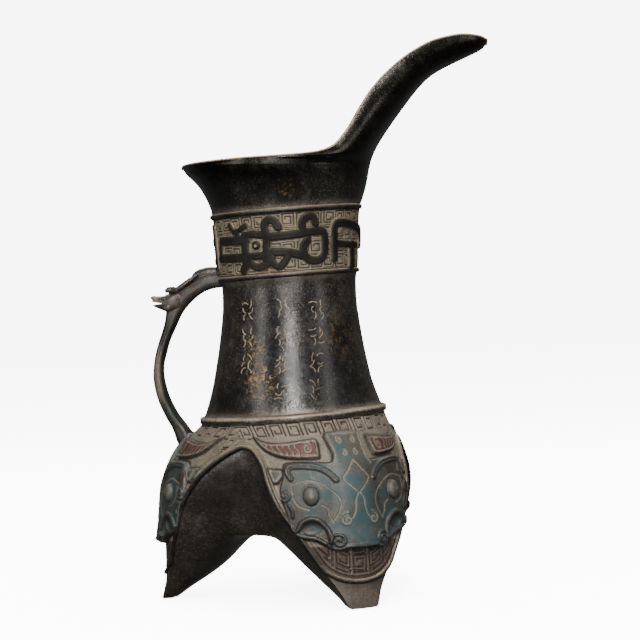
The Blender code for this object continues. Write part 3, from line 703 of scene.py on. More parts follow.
def mouth_rows(angles, inset, steps):
    """Rows of the mouth from the tip of the spout down to the neck."""
    table = np.array([[p[0], p[1], k[0], k[1], r, w, f] for p, k, r, w, f in MOUTH], float)
    table[:, 4] = table[:, 4] ** 2
    s = np.arange(len(MOUTH), dtype=float)
    curves = [Curve(np.stack([s, table[:, c]], -1)) for c in range(7)]
    at = np.linspace(len(MOUTH) - 1, 0, (len(MOUTH) - 1) * steps + 1)
    rows = []
    lifts = []
    share = np.abs(angles) / 180.0
    side = np.sign(angles)
    for q in at:
        px, pz, kx, kz, rim2, half, power = [float(c(q)) for c in curves]
        rim = math.sqrt(max(rim2, 0.0))
        along = np.array([px - kx, pz - kz])
        along /= np.linalg.norm(along)
        top = np.array([px, pz])
        keel = np.array([kx, kz]) + along * inset
        opened = q > RIM_START + 1e-6
        lean = min(max((px - 10.0) / 30.0, 0.0), 1.0)
        up = np.array([0.0, 1.0]) * (1 - lean) + along * lean
        up /= np.linalg.norm(up)
        if opened:
            rim_ahead = math.sqrt(max(float(curves[4](min(q + 0.02, len(MOUTH) - 1))), 0))
            rim_back = math.sqrt(max(float(curves[4](q - 0.02)), 0))
            run = float(curves[0](min(q + 0.02, len(MOUTH) - 1)) - curves[0](q - 0.02))
            n = np.array([rim_ahead - rim_back, -run])
            n /= max(np.linalg.norm(n), 1e-9)
            top = top + np.array([n[0] * inset, 0])
            rim = max(rim + n[1] * inset, 0.0)
            top = top - up * RIM_CROWN
            ratio = min(rim / max(half - inset, 0.1), 1.0)
            end = math.pi - math.asin(ratio ** (power / 2))
        else:
            top = top - along * inset
            if q > RIM_START - 1e-6:
                top = top - np.array([0, RIM_CROWN])
            end = math.pi
        wide = max(half - inset, 0.1)
        c = np.cos(share * end)
        reach = 1 - math.copysign(abs(math.cos(end)) ** (2 / power), math.cos(end))
        f = (1 - np.copysign(np.abs(c) ** (2 / power), c)) / reach
        p = keel + (top - keel) * f[:, None]
        y = side * wide * np.abs(np.sin(share * end)) ** (2 / power)
        rows.append(np.stack([p[:, 0], y, p[:, 1]], -1))
        lifts.append((up[0], 0.0, up[1]))
    return rows, lifts, int(round((len(MOUTH) - 1 - RIM_START) * steps))


def eased_mouth(rows, rim_row, spread=3.2):
    """The mouth's rows with the turn into the spout eased; the rim stays where it is."""
    grid = np.stack(rows)
    rim = np.concatenate([grid[:rim_row + 1, 0], grid[:rim_row + 1, -1], grid[0]])
    rim = rim[::3]
    away = np.full(grid.shape[:2], 1e3)
    for p in rim:
        away = np.minimum(away, np.linalg.norm(grid - p, axis=-1))
    weight = step(away, 1.0, 10.0) * step(grid[..., 2], 176.5, 183.0)
    pace = 0.25
    side = 40
    kernel = np.exp(-0.5 * (np.arange(-side, side + 1) * pace / spread) ** 2)
    kernel = kernel / kernel.sum()
    for c in range(grid.shape[1]):
        line = grid[:, c]
        run = np.concatenate([[0], np.cumsum(np.linalg.norm(np.diff(line, axis=0), axis=1))])
        even = np.arange(0, run[-1] + pace, pace)
        for k in range(3):
            v = np.interp(even, run, line[:, k])
            padded = np.concatenate([2 * v[0] - v[side:0:-1], v,
                                     2 * v[-1] - v[-2:-side - 2:-1]])
            eased = np.interp(run, even, np.convolve(padded, kernel, mode="valid"))
            grid[:, c, k] += (eased - line[:, k]) * weight[:, c]
    return [row for row in grid]


def shell_rows(angles, sizes):
    """Outer rows and inner rows of the casting, both from the tip of the spout down."""
    outer, lifts, rim_row = mouth_rows(angles, 0.0, 5)
    outer = eased_mouth(outer, rim_row)
    inner = eased_mouth(mouth_rows(angles, sizes.lip / MM, 5)[0], rim_row)
    wall = sizes.wall / MM
    for z in np.concatenate([[174.0, 173.2, 172.2, 168, 162, 156, 150, 145.2, 144.2, 143.2, 142.2],
                             np.arange(140, NECK_FOOT + 1.5, -2.6)]):
        sunk = SHEET_UNDER * float(step(z, 143.4, 144.2) * (1 - step(z, 172.2, 173.0)))
        outer.append(place(angles, neck_at(z) - sunk, z))
    for z, r in ((NECK_FOOT + 0.5, 39.95), (NECK_FOOT, 40.35), (82.78, 41.2), (82.5, 41.95),
                 (82.1, 42.25), (81.4, 42.3), (80.6, 42.3), (80.05, 42.2), (79.75, 41.8),
                 (79.55, 41.0), (79.3, 40.5)):
        outer.append(place(angles, r, z))
    edge = edge_height(angles)
    for f in np.linspace(0, 1, 12)[1:]:
        z = 79.0 + (edge + 0.1 - 79.0) * f
        outer.append(place(angles, body_radius(angles, z) - SHEET_UNDER, z))
    for t in np.concatenate([[0.02, 0.045], np.linspace(0.075, 0.97, 30)]):
        radius = body_radius(angles, edge) * (1 - t)
        outer.append(place(angles, radius, under_height(angles, radius), False))
    for z in (173, 168, 160, 152, 144, 138, 131, 124, 116, 108, 100, 94, 89, 85.5, 84, 82.4,
              80.5, 78.8):
        radius = neck_at(z) if z >= NECK_FOOT else 40.6
        inner.append(place(angles, radius - wall, z))
    floor = 12.5
    spread = 2.6 * wall / 2.5
    dip = (1 - np.cos(np.radians(3 * fold(angles)[1]))) / 2

    def depth(radius):
        return np.maximum(under_height(angles, radius - 1.0 + 3.5 * dip, spread) + 1.04 * wall,
                          floor)

    ends = np.full(angles.shape, 40.0)
    for turn in range(30):
        ends = 0.5 * ends + 0.5 * depth(body_radius(angles, ends) - wall)
    for f in np.linspace(0, 1, 12):
        z = 77.5 + (ends - 77.5) * f
        inner.append(place(angles, body_radius(angles, z) - wall, z))
    for t in np.linspace(0.05, 0.95, 16):
        radius = (body_radius(angles, ends) - wall) * (1 - t)
        inner.append(place(angles, radius, depth(radius), False))
    return outer, inner, lifts, rim_row


def shell_patina(points):
    """Wear and a painted highlight along the top of the shoulder ring, dirt at the rings and a
    dusty underside.
    """
    x, y, z = points.T
    radius = np.hypot(x - LEAN[0] * np.clip((z - LEAN[1]) / (LEAN[2] - LEAN[1]), 0, 1), y)
    level = z - RING_SLOPE * x
    ring = (radius > 41.0) & (radius < 43.5)
    patina = np.zeros((len(points), 4))
    # Painted highlight with wear: a pale line along the top edge of the shoulder ring.
    patina[:, 3] = ring * (0.95 * np.exp(-((level - 82.2) / 0.5) ** 2))
    seat = np.exp(-((level - 83.4) / 1.3) ** 2) * (radius > 38.0)
    above = np.exp(-((level - 174.0) / 1.5) ** 2) * (radius > 32.0)
    below = np.exp(-((level - 142.0) / 1.2) ** 2) * (radius > 29.5)
    patina[:, 0] = (0.55 * seat + 0.4 * ring * np.exp(-((level - 79.9) / 0.4) ** 2)
                    + 0.42 * above + 0.3 * below + 0.13 * (1 - step(z, 62.0, 74.0)))
    return patina


def build_shell(context):
    """One closed mesh for both walls, the rim and the underside."""
    sizes = context.scene.ewer_sizes
    angles = column_angles(SHELL_FINE)
    count = len(angles)
    outer, inner, lifts, rim_row = shell_rows(angles, sizes)
    points = []
    faces = []
    numbers = []
    base = 0
    for rows, pole, outward in ((outer, CROTCH, True),
                                (inner, CROTCH + 1.04 * sizes.wall / MM, False)):
        grid = np.stack(rows)
        index = base + np.arange(grid.shape[0] * count).reshape(grid.shape[0], count)
        index[rim_row:, -1] = index[rim_row:, 0]
        points.append(grid.reshape(-1, 3))
        tip = base + grid.shape[0] * count
        points.append(np.array([[0.0, 0.0, pole]]))
        sheet = quads(index)
        last = index[-1]
        fan = np.stack([last[:-1], np.full(count - 1, tip), last[1:]], -1)
        faces += [sheet if outward else sheet[:, ::-1], fan if outward else fan[:, ::-1]]
        numbers.append(index)
        base = tip + 1
    loops = []
    for index in numbers:
        loops.append(np.concatenate([index[rim_row:0:-1, 0], index[0, :], index[1:rim_row, -1]]))
    tip_up = (0.96, 0.0, 0.28)
    lift = np.array(lifts[rim_row:0:-1] + [tip_up] * count + lifts[1:rim_row])
    lift[0] = (0, 0, 1)
    every = np.concatenate(points)
    first = every[loops[0]]
    second = every[loops[1]]
    strip = [loops[0]]
    for share in (0.16, 0.38, 0.62, 0.84):
        crown = RIM_CROWN * (1 - abs(2 * share - 1) ** 2.2)
        ring = first + (second - first) * share + lift * crown
        strip.append(base + np.arange(len(ring)))
        points.append(ring)
        base += len(ring)
    strip.append(loops[1])
    rim = np.stack(strip)
    rim = np.concatenate([rim, rim[:, :1]], 1)
    faces.append(quads(rim))
    every = np.concatenate(points)
    used = np.zeros(len(every), bool)
    for f in faces:
        used[np.asarray(f).ravel()] = True
    renumber = np.cumsum(used) - 1
    faces = [renumber[np.asarray(f)] for f in faces]
    patina = shell_patina(every)
    # Wear and a painted highlight along the top of the rim, brightest on the crown of the lip.
    for ring, wear_and_highlight in zip(strip, (0.1, 0.8, 0.9, 0.9, 0.8, 0.3)):
        patina[ring, 3] = wear_and_highlight
    obj = new_piece("vessel_shell", every[used], faces, material_for(context, "neck bronze"),
                    patina[used])
    recalculate(obj)
    obj.data.set_sharp_from_angle(angle=math.radians(62))
    return obj


def recalculate(obj):
    """Merges doubled points and turns every face outward."""
    mesh = bmesh.new()
    mesh.from_mesh(obj.data)
    bmesh.ops.remove_doubles(mesh, verts=mesh.verts, dist=1e-7)
    bmesh.ops.recalc_face_normals(mesh, faces=mesh.faces)
    mesh.to_mesh(obj.data)
    mesh.free()


def band_height(a, z, rise):
    """Relief of the neck band and its patina, with painted shade in the fret grooves and along the
    rules. a is the angle right of the front.
    """
    scale = math.radians(BAND_RADIUS)
    x = a * scale
    flat = z + RING_SLOPE * BAND_RADIUS * np.sin(np.radians(a))
    cell_x = 6.36
    cell_z = 6.4
    start = 145.7
    col = np.floor(x / cell_x)
    row = np.floor((z - start) / cell_z)
    u = x - (col + 0.5) * cell_x
    v = z - start - (row + 0.5) * cell_z
    turn = (col * 7 + row * 3) % 4
    u, v = (np.where(turn % 2 == 0, u, -u), np.where(turn < 2, v, -v))
    lines = thunder(u, v, 3.0, 1.22)
    frets = 0.25 - lines * 0.42
    bars = np.full(x.shape, 1e3)
    for points, half in BAND_STROKES:
        path = smooth_path(points) * np.array([scale, 1.0])
        bars = np.minimum(bars, near_path(x, flat, path, 6.0) - half - 0.18)
    eye_a, eye_z, eye_r = BAND_EYE
    eye = np.hypot(x - eye_a * scale, flat - eye_z)
    clear = step(bars, 0.35, 0.75) * step(eye, eye_r + 0.8, eye_r + 1.3)
    frame = step(z, 145.3, 145.8) * (1 - step(z, 171.0, 171.5))
    height = frets * clear * frame
    bars = bars - 0.22
    body = 1 - step(bars, -0.25, 0.1)
    crown = np.clip((0.1 - bars) / 0.95, 0, 1)
    height = np.maximum(height, rise * 1.4 * np.sqrt(1 - (1 - crown) ** 2))
    socket = np.abs(eye - eye_r - 0.15)
    height = np.where(eye < eye_r + 1.2, np.maximum(height, 0.55 * slab(socket, 0.55, 0.4)), height)
    height = np.where(eye < eye_r, np.maximum(height, rise * 1.35 * cord(eye, eye_r)), height)
    pupil = 1 - step(eye, 0.4, 0.75)
    height = height - 0.45 * pupil
    # Pale dirt on the fret ground; the fret lines keep little, painted shade in those grooves.
    dirt = (1 - body) * (0.95 - 0.85 * lines * clear)
    # No pale dirt in a strip along each rule: painted shade beside the rules, a shadow under the
    # upper rule.
    dirt = dirt * step(z, 144.9, 145.9) * (1 - step(z, 170.2, 171.2))
    dirt = np.where(eye < eye_r + 0.9, 0.85, dirt)
    dirt = np.where((eye < eye_r - 0.1) & (eye > 0.7), 0, dirt)
    return height, np.clip(dirt, 0, 1), np.maximum(body, eye < eye_r - 0.1)


def build_band(context):
    """The relief band as one closed sheet that sits on the shell."""
    sizes = context.scene.ewer_sizes
    columns = 800
    low = 143.6
    high = 173.0
    rows = 112
    theta = np.linspace(-180, 180, columns + 1)[:-1]
    z = np.linspace(high, low, rows)
    tt, zz = np.meshgrid(theta, z)
    a = 90.0 - np.abs(tt)
    height, dirt, body = band_height(a, zz, sizes.band_rise / MM)
    height = height + 0.05 * ripple(tt * 0.57, zz, 5)

    def shape(t, h):
        return neck_at(h)

    front = place(tt, shape(tt, zz), zz) + normals(shape, tt, zz) * height[..., None]
    proud = np.clip((height - blur(height, 2, True)) / 0.30, 0, 1)
    patina = np.zeros(front.shape[:2] + (4,))
    patina[..., 0] = np.clip(dirt * 1.2, 0, 1)
    patina[..., 3] = proud * (0.05 + 0.25 * (1 - body))
    back = np.stack([place(theta, neck_at(h) - 1.0, np.full(theta.shape, h)) for h in (high, low)])
    index = np.arange(rows * columns).reshape(rows, columns)
    index = np.concatenate([index, index[:, :1]], 1)
    behind = rows * columns + np.arange(2 * columns).reshape(2, columns)
    behind = np.concatenate([behind, behind[:, :1]], 1)
    faces = [quads(index), quads(behind)[:, ::-1], quads(np.stack([behind[0], index[0]])),
             quads(np.stack([index[-1], behind[1]]))]
    points = np.concatenate([front.reshape(-1, 3), back.reshape(-1, 3)])
    hidden = np.zeros((2 * columns, 4))
    return new_piece("neck_band", points, faces, material_for(context, "band bronze"),
                     np.concatenate([patina.reshape(-1, 4), hidden]), 70)


def leg_scale(z):
    """Millimetres round the body for one degree, at a height."""
    return np.radians(1.0) * (0.72 * lobe_at(z) + 0.28 * valley_at(z))


def flat_path(points):
    """A path in (angle off the leg, height) as millimetres."""
    p = np.array(points, float)
    return np.stack([p[:, 0] * leg_scale(p[:, 1]), p[:, 1]], -1)


def cross_cord(theta_of, side):
    """The cord on one side of a leg: along the edge, then across the front."""
    psi = np.concatenate([np.arange(60, 44, -2.0), np.arange(44, 20, -1.0)])
    path = []
    for a in psi:
        theta = theta_of(side * a)
        run = (edge_height(theta + 0.5) - edge_height(theta - 0.5)) / leg_scale(40.0)
        tall = math.sqrt(1 + min(float(run) ** 2, 9.0))
        path.append((a, float(edge_height(theta)) + 0.95 * tall))
    start = float(edge_height(theta_of(side * 19.2))) + 1.3
    tail = smooth_path([(a, start if z is None else z) for a, z in CROSS_CORD], 5)
    return np.array(path + [tuple(p) for p in tail])


def mask_relief(psi, z, theta_of, sizes):
    """Height and patina of the outside of one leg, over angle off the leg and height; the patina
    holds painted shade and a painted highlight too.
    """
    ax = np.abs(psi)
    x = ax * leg_scale(z)
    grow = sizes.mask_rise / MM / 1.8
    face = outline_distance(x, z, mirror_free(flat_path(smooth_outline(FACE))), 7.0)
    face = np.where((x < 1.0) & (z < 74.2) & (z > 26.1), -np.abs(face), face)
    wing = outline_distance(x, z, flat_path(smooth_outline(WING)), 5.0)
    ear = outline_distance(x, z, flat_path(EAR), 4.0)
    on_face = 1 - step(face, -0.5, 0.35)
    bell = np.clip(1 - (x / face_width_at(z)) ** 2, 0, 1) ** 1.15
    rise = 1.35 + (face_rise_at(z) - 1.35) * bell
    height = on_face * rise * grow
    hollow = np.clip(1 - np.hypot((x - 19.6 * leg_scale(35.2)) / 4.3, (z - 35.2) / 2.9) ** 2, 0, 1)
    height = height - 1.5 * np.sqrt(hollow) * on_face
    dirt = np.zeros(x.shape)
    lines = np.zeros(x.shape)

    def thin(path, half, depth, store):
        d = near_path(x, z, flat_path(path), 2.0)
        mark = 1 - step(d, half * 0.25, half)
        np.maximum(store, mark, out=store)
        return -depth * mark

    for points in FACE_LINES:
        height = height + thin(smooth_path(points), 0.36, 0.30, lines)
    k = 1 / float(leg_scale(40.0))
    for middle, radius, turns, start, hand in (((5.6, 38.4), 2.3, 1.5, 100, -1),
                                               ((3.4, 70.6), 1.7, 1.3, 60, -1),
                                               ((2.9, 65.2), 1.4, 1.2, 90, 1)):
        height = height + thin(spiral(middle, radius, turns, start, hand, k), 0.40, 0.34, lines)
    cords = np.zeros(x.shape)

    def raised(path, half, lift):
        d = near_path(x, z, flat_path(path), half + 1.0)
        np.maximum(cords, cord(d, half), out=cords)
        return lift * cord(d, half)

    groove = near_path(x, z, flat_path(smooth_path(BROW)), 2.0)
    height = height + raised(smooth_path(BROW), 1.35, 1.0) - 0.45 * (1 - step(groove, 0.1, 0.45))
    height = height + np.maximum(raised(smooth_path(LIP), 1.15, 1.2),
                                 raised(smooth_path(LIP_LOW), 1.1, 1.0))
    height = height + raised(smooth_path(LIP_MID), 1.0, 0.55)
    curl = spiral((9.4, 29.6), 3.3, 1.6, -30, 1, k)
    height = height + raised(curl, 0.72, 0.75)
    nostril = near_path(x, z, flat_path(spiral((5.6, 38.4), 2.9, 1.1, 100, -1, k)), 2.0)
    height = height + 0.35 * cord(nostril, 0.7)
    cheek = spiral((30.4, 49.4), 2.3, 1.35, -60, -1, k)
    height = height + raised(cheek, 0.75, 0.8)
    height = height + raised(smooth_path([(28.8, 45.6), (27.4, 43.0), (27.4, 40.6)]), 0.9, 0.7)
    ex, ez, er, eh = MASK_EYE
    eye = np.hypot((x - ex * leg_scale(z)) / er, (z - ez) / eh)
    lid = np.abs(eye - 1.12)
    height = height - 0.28 * (1 - step(lid, 0.03, 0.12))
    height = np.where(eye < 1, height + 2.3 * grow * np.sqrt(np.clip(1 - eye ** 2, 0, 1)), height)

    on_wing = 1 - step(wing, -0.45, 0.25)
    inner = step(-wing, 0.95, 1.35)
    comb = np.abs(((x + 0.55 * np.sin(z * 1.25)) % 2.5) - 1.25)
    sa, sz = WING_SCROLL
    scroll = near_path(x, z, flat_path(spiral(WING_SCROLL, 2.5, 1.6, 60, 1, k)), 2.0)
    near_scroll = 1 - step(np.hypot(x - sa * leg_scale(z), z - sz), 3.2, 3.6)
    hatch = (1 - step(comb, 0.14, 0.40)) * (1 - near_scroll)
    hatch = np.maximum(hatch, (1 - step(scroll, 0.14, 0.40)) * near_scroll) * inner
    border = 1 - step(np.abs(wing + 1.05), 0.12, 0.36)
    wing_top = 1.5 * on_wing - 0.35 * np.maximum(hatch, border)
    height = np.maximum(height, wing_top * (on_wing > 0))
    on_ear = 1 - step(ear, -0.5, 0.3)
    ear_line = (1 - step(np.abs(ear + 1.0), 0.1, 0.35)) * on_ear
    height = np.maximum(height, 1.5 * on_ear) - 0.35 * ear_line

    sides = [cross_cord(theta_of, side) for side in (1, -1)]
    main = np.where(psi >= 0, near_path(x, z, flat_path(sides[0]), 5.0),
                    near_path(x, z, flat_path(sides[1]), 5.0))
    edge = edge_height(theta_of(psi))
    above = z > np.where(ax < 19.2, 11.5 + 0.024 * ax ** 2, edge)
    open_ground = (step(face, 0.5, 0.9) * step(wing, 0.55, 0.95) * step(ear, 0.4, 0.8)
                   * step(main, 3.0, 3.4) * above)
    top_row = z > 74.1
    low_row = (z < 27.5) & (ax < 24)
    arc = z - (19.6 + 0.030 * x ** 2)
    cell_x = np.where(top_row, 7.6, np.where(low_row, 7.4, 5.4))
    col = np.where(low_row, np.round(x / cell_x), np.floor(x / cell_x))
    u = np.where(low_row, x - col * cell_x, x - (col + 0.5) * cell_x)
    v_low = arc - np.floor(arc / 7.0 + 0.5) * 7.0
    v_mid = (z - 34.0) % 5.0 - 2.5
    v = np.where(top_row, z - 76.75, np.where(low_row, v_low, v_mid))
    u = np.where((col % 2 == 0) & (psi > 0), -u, u)
    reach = np.where(top_row, 3.3, np.where(low_row, 3.45, 2.35))
    pitch = np.where(top_row, 1.4, np.where(low_row, 1.4, 1.25))
    rows = np.maximum(np.maximum(top_row, low_row), ax > 50)
    open_ground = open_ground * rows
    fret = thunder(u, np.where(col % 2 == 1, -v, v), reach, pitch) * open_ground
    height = height + (0.25 - 0.45 * fret) * open_ground
    second = 1 - step(np.abs(main - 2.75), 0.15, 0.5)
    second = second * above * step(face, 0.2, 0.6)
    height = height + 0.45 * second
    ground = (1 - on_face) * (1 - on_wing) * (1 - on_ear) * above
    # Painted shade: less pale dirt along the edges of the face, wings and ears, a dark outline
    # where they meet the ground.
    shade = 1 - 0.85 * (1 - step(np.minimum(np.minimum(face, wing), ear), 0.3, 1.2))
    # Pale dirt on the fret ground and in the engraved lines; none in the fret grooves and little on
    # the lower row, which faces down: painted shade there.
    dirt = np.clip(ground * (0.85 - 0.85 * fret) * np.where(low_row, 0.14, 1.0) * shade
                   + lines * 0.8 + ear_line + hatch * 0.9 + 0.9 * border * on_wing, 0, 1)
    dirt = dirt * (1 - 0.85 * step(cords, 0.2, 0.7))
    teal = np.maximum(on_face * (0.75 + 0.25 * bell), 0.8 * on_ear)
    teal = teal * (1 - np.where(z < 46, 0.75, 0.4) * step(cords, 0.2, 0.7))
    teal = np.where(eye < 1.0, 0.7, teal)
    dirt = dirt * (eye > 1.0)
    # A pale worn spot at the middle of each eye dome, which is also a painted highlight; a little
    # less wear on the cords.
    worn = 0.6 * np.exp(-(eye / 0.2) ** 2) - 0.2 * step(cords, 0.2, 0.7)
    centre = np.exp(-((x / 5.5) ** 2 + ((z - 66) / 5) ** 2))
    teal = np.clip(teal + 0.5 * centre * on_face, 0, 1)
    red = np.clip(on_wing * inner * (1 - hatch) + 0.3 * low_row * ground
                  + 0.25 * top_row * ground, 0, 1)
    foot = (~above) & (z < 40)
    dirt = np.where(foot, 0.24, dirt)
    red = np.where(foot, 0.22, red)
    return height, dirt, teal * (~foot), red, worn


def mirror_free(path):
    """Closes a half outline past the middle line so that its mirror joins up."""
    return np.vstack([[-6.0, path[0][1]], path, [-6.0, path[-1][1]]])


def smooth_outline(points):
    """An outline with its corners just taken off."""
    return smooth_path(points, 3)


def build_leg(context, leg, name):
    """The outside of one leg, from the shoulder to its lower edge, as a closed sheet."""
    sizes = context.scene.ewer_sizes
    columns = 372
    top = 79.9
    pitch = 0.325
    psi = np.linspace(-60, 60, columns)
    flat_z = np.arange(top, 0, -pitch)
    edge = edge_height(leg + psi)
    pp, zz = np.meshgrid(psi, flat_z)
    full = zz
    zz = np.maximum(zz, edge[None, :])
    height, dirt, teal, red, worn = mask_relief(pp, zz, lambda p: leg + p, sizes)
    hem = np.clip((zz - edge[None, :]) / 0.8, 0, 1)
    height = (height + 0.05 * ripple(pp + leg, zz, 11)) * (0.2 + 0.8 * hem)
    height = height * (1 - step(zz, 79.0, 79.8))
    tt = leg + pp
    front = (place(tt, body_radius(tt, zz), zz)
             + normals(body_radius, tt, zz) * height[..., None])
    front[..., 2] = np.maximum(front[..., 2], 0.0)
    soft = blur(height, 2)
    proud = np.clip((height - soft) / 0.35, 0, 1)
    # Fourth value: wear on proud edges and the painted highlight on the eye domes.
    patina = np.stack([dirt, teal, red, np.clip(proud * 0.22 + worn * 0.8, 0, 1)], -1)
    rows = len(flat_z)
    last = np.array([int(np.argmax(full[:, c] <= edge[c])) if (full[:, c] <= edge[c]).any()
                     else rows - 1 for c in range(columns)])
    index = np.arange(rows * columns).reshape(rows, columns)
    for c in range(columns):
        index[last[c]:, c] = index[last[c], c]
    whole, thin = split_flat(quads(index))
    back_rows = 13
    share = np.linspace(0, 1, back_rows)[:, None]
    low = np.maximum(zz[last, np.arange(columns)], 0.0)
    back_z = top + (low[None, :] - top) * share
    back_t = np.broadcast_to(leg + psi, back_z.shape)
    back = place(back_t, body_radius(back_t, back_z) - 1.05, back_z)
    base = rows * columns
    behind = base + np.arange(back_rows * columns).reshape(back_rows, columns)
    hem_front = index[last, np.arange(columns)]
    faces = [whole, thin, quads(behind)[:, ::-1],
             quads(np.stack([behind[0], index[0]])), quads(np.stack([hem_front, behind[-1]]))]
    for c, flip in ((0, False), (columns - 1, True)):
        a = list(index[:last[c] + 1, c])
        b = list(behind[:, c])
        ka = list(-zz[:last[c] + 1, c])
        kb = list(-back_z[:, c])
        wall = np.array(zip_rows(a, b, ka, kb))
        faces.append(wall[:, ::-1] if flip else wall)
    points = np.concatenate([front.reshape(-1, 3), back.reshape(-1, 3)])
    every = np.concatenate([patina.reshape(-1, 4), np.zeros((back_rows * columns, 4))])
    used = np.zeros(len(points), bool)
    for f in faces:
        used[f.ravel()] = True
    renumber = np.cumsum(used) - 1
    faces = [renumber[f] for f in faces]
    return new_piece(name, points[used], faces, material_for(context, "relief bronze"),
                     every[used], 70)


def tube_rings(stations, sides, power):
    """Rounded sections between pairs of side-view points with half widths."""
    a = (np.arange(sides) + 0.5) / sides * 2 * math.pi
    c = np.copysign(np.abs(np.cos(a)) ** (2 / power), np.cos(a))
    s = np.copysign(np.abs(np.sin(a)) ** (2 / power), np.sin(a))
    rings = []
    for (tx, tz), (bx, bz), half in stations:
        f = 0.5 + 0.5 * c
        rings.append(np.stack([bx + (tx - bx) * f, half * s, bz + (tz - bz) * f], -1))
    return np.stack(rings)


def closed_tube(rings):
    """Points and faces of a tube with rounded-off ends."""
    count, sides = rings.shape[:2]
    index = np.arange(count * sides).reshape(count, sides)
    index = np.concatenate([index, index[:, :1]], 1)
    ends = [rings[0].mean(0), rings[-1].mean(0)]
    base = count * sides
    first = np.stack([index[0, :-1], index[0, 1:], np.full(sides, base)], -1)
    last = np.stack([index[-1, 1:], index[-1, :-1], np.full(sides, base + 1)], -1)
    points = np.concatenate([rings.reshape(-1, 3), ends])
    return points, [quads(index), first, last]


def dense_stations(table, parts):
    """The same side-view sections, smoothly filled in between."""
    flat = np.array([[o[0], o[1], i[0], i[1], w] for o, i, w in table])
    path = smooth_path(flat, parts)
    return [((p[0], p[1]), (p[2], p[3]), p[4]) for p in path]


def ellipsoid(middle, radii, rings=14, sides=20):
    """A rounded lump."""
    v = np.linspace(0, math.pi, rings)[1:-1]
    a = np.arange(sides) / sides * 2 * math.pi
    x = radii[0] * np.cos(v)[:, None] * np.ones(sides)
    y = radii[1] * np.sin(v)[:, None] * np.cos(a)
    z = radii[2] * np.sin(v)[:, None] * np.sin(a)
    return np.stack([x + middle[0], y + middle[1], z + middle[2]], -1)


def round_tube(path, radii, sides=14):
    """A round bar along a 3D path with a radius at each point."""
    p = smooth_path(path, 5)
    r = smooth_path([(v,) for v in radii], 5)[:, 0]
    along = np.gradient(p, axis=0)
    along /= np.linalg.norm(along, axis=1, keepdims=True)
    side = np.cross(along, (0.0, 1.0, 0.02))
    side /= np.linalg.norm(side, axis=1, keepdims=True)
    up = np.cross(side, along)
    a = np.arange(sides) / sides * 2 * math.pi
    return (p[:, None, :] + r[:, None, None] * (side[:, None, :] * np.cos(a)[:, None]
                                                + up[:, None, :] * np.sin(a)[:, None]))


def handle_patina(points):
    """Dusty blue-grey head, darker bar, painted shade along the crease beside the horn and an
    earthy snout.
    """
    x, y, z = points.T
    x = x - AXIS_X
    # Painted shade: no patina along the crease between the horn and the top of the head, so it
    # shows dark.
    groove = near_path(x, z, np.array([(-51.0, 136.4), (-43.0, 143.4)]), 4.0)
    groove = np.exp(-(groove / 1.2) ** 2) * (np.abs(y) > 2.0)
    upper = step(z, 119.0, 131.0)
    snout = 1 - step(x, -60.5, -57.5)
    patina = np.zeros((len(points), 4))
    lumps = step(ripple(x, z, 23) + ripple(z * 1.7, x + y, 31), 0.0, 0.9)
    patina[:, 0] = 0.11 * upper * lumps * (1 - groove) + 0.55 * snout
    patina[:, 1] = (0.03 + 0.26 * upper + 0.30 * np.exp(-((z - 78) / 7) ** 2)) * (1 - groove)
    patina[:, 1] *= 1 - 0.8 * snout
    patina[:, 2] = 0.25 * upper * (1 - lumps)
    patina[:, 3] = 0.05 * upper * (1 - groove)
    return patina


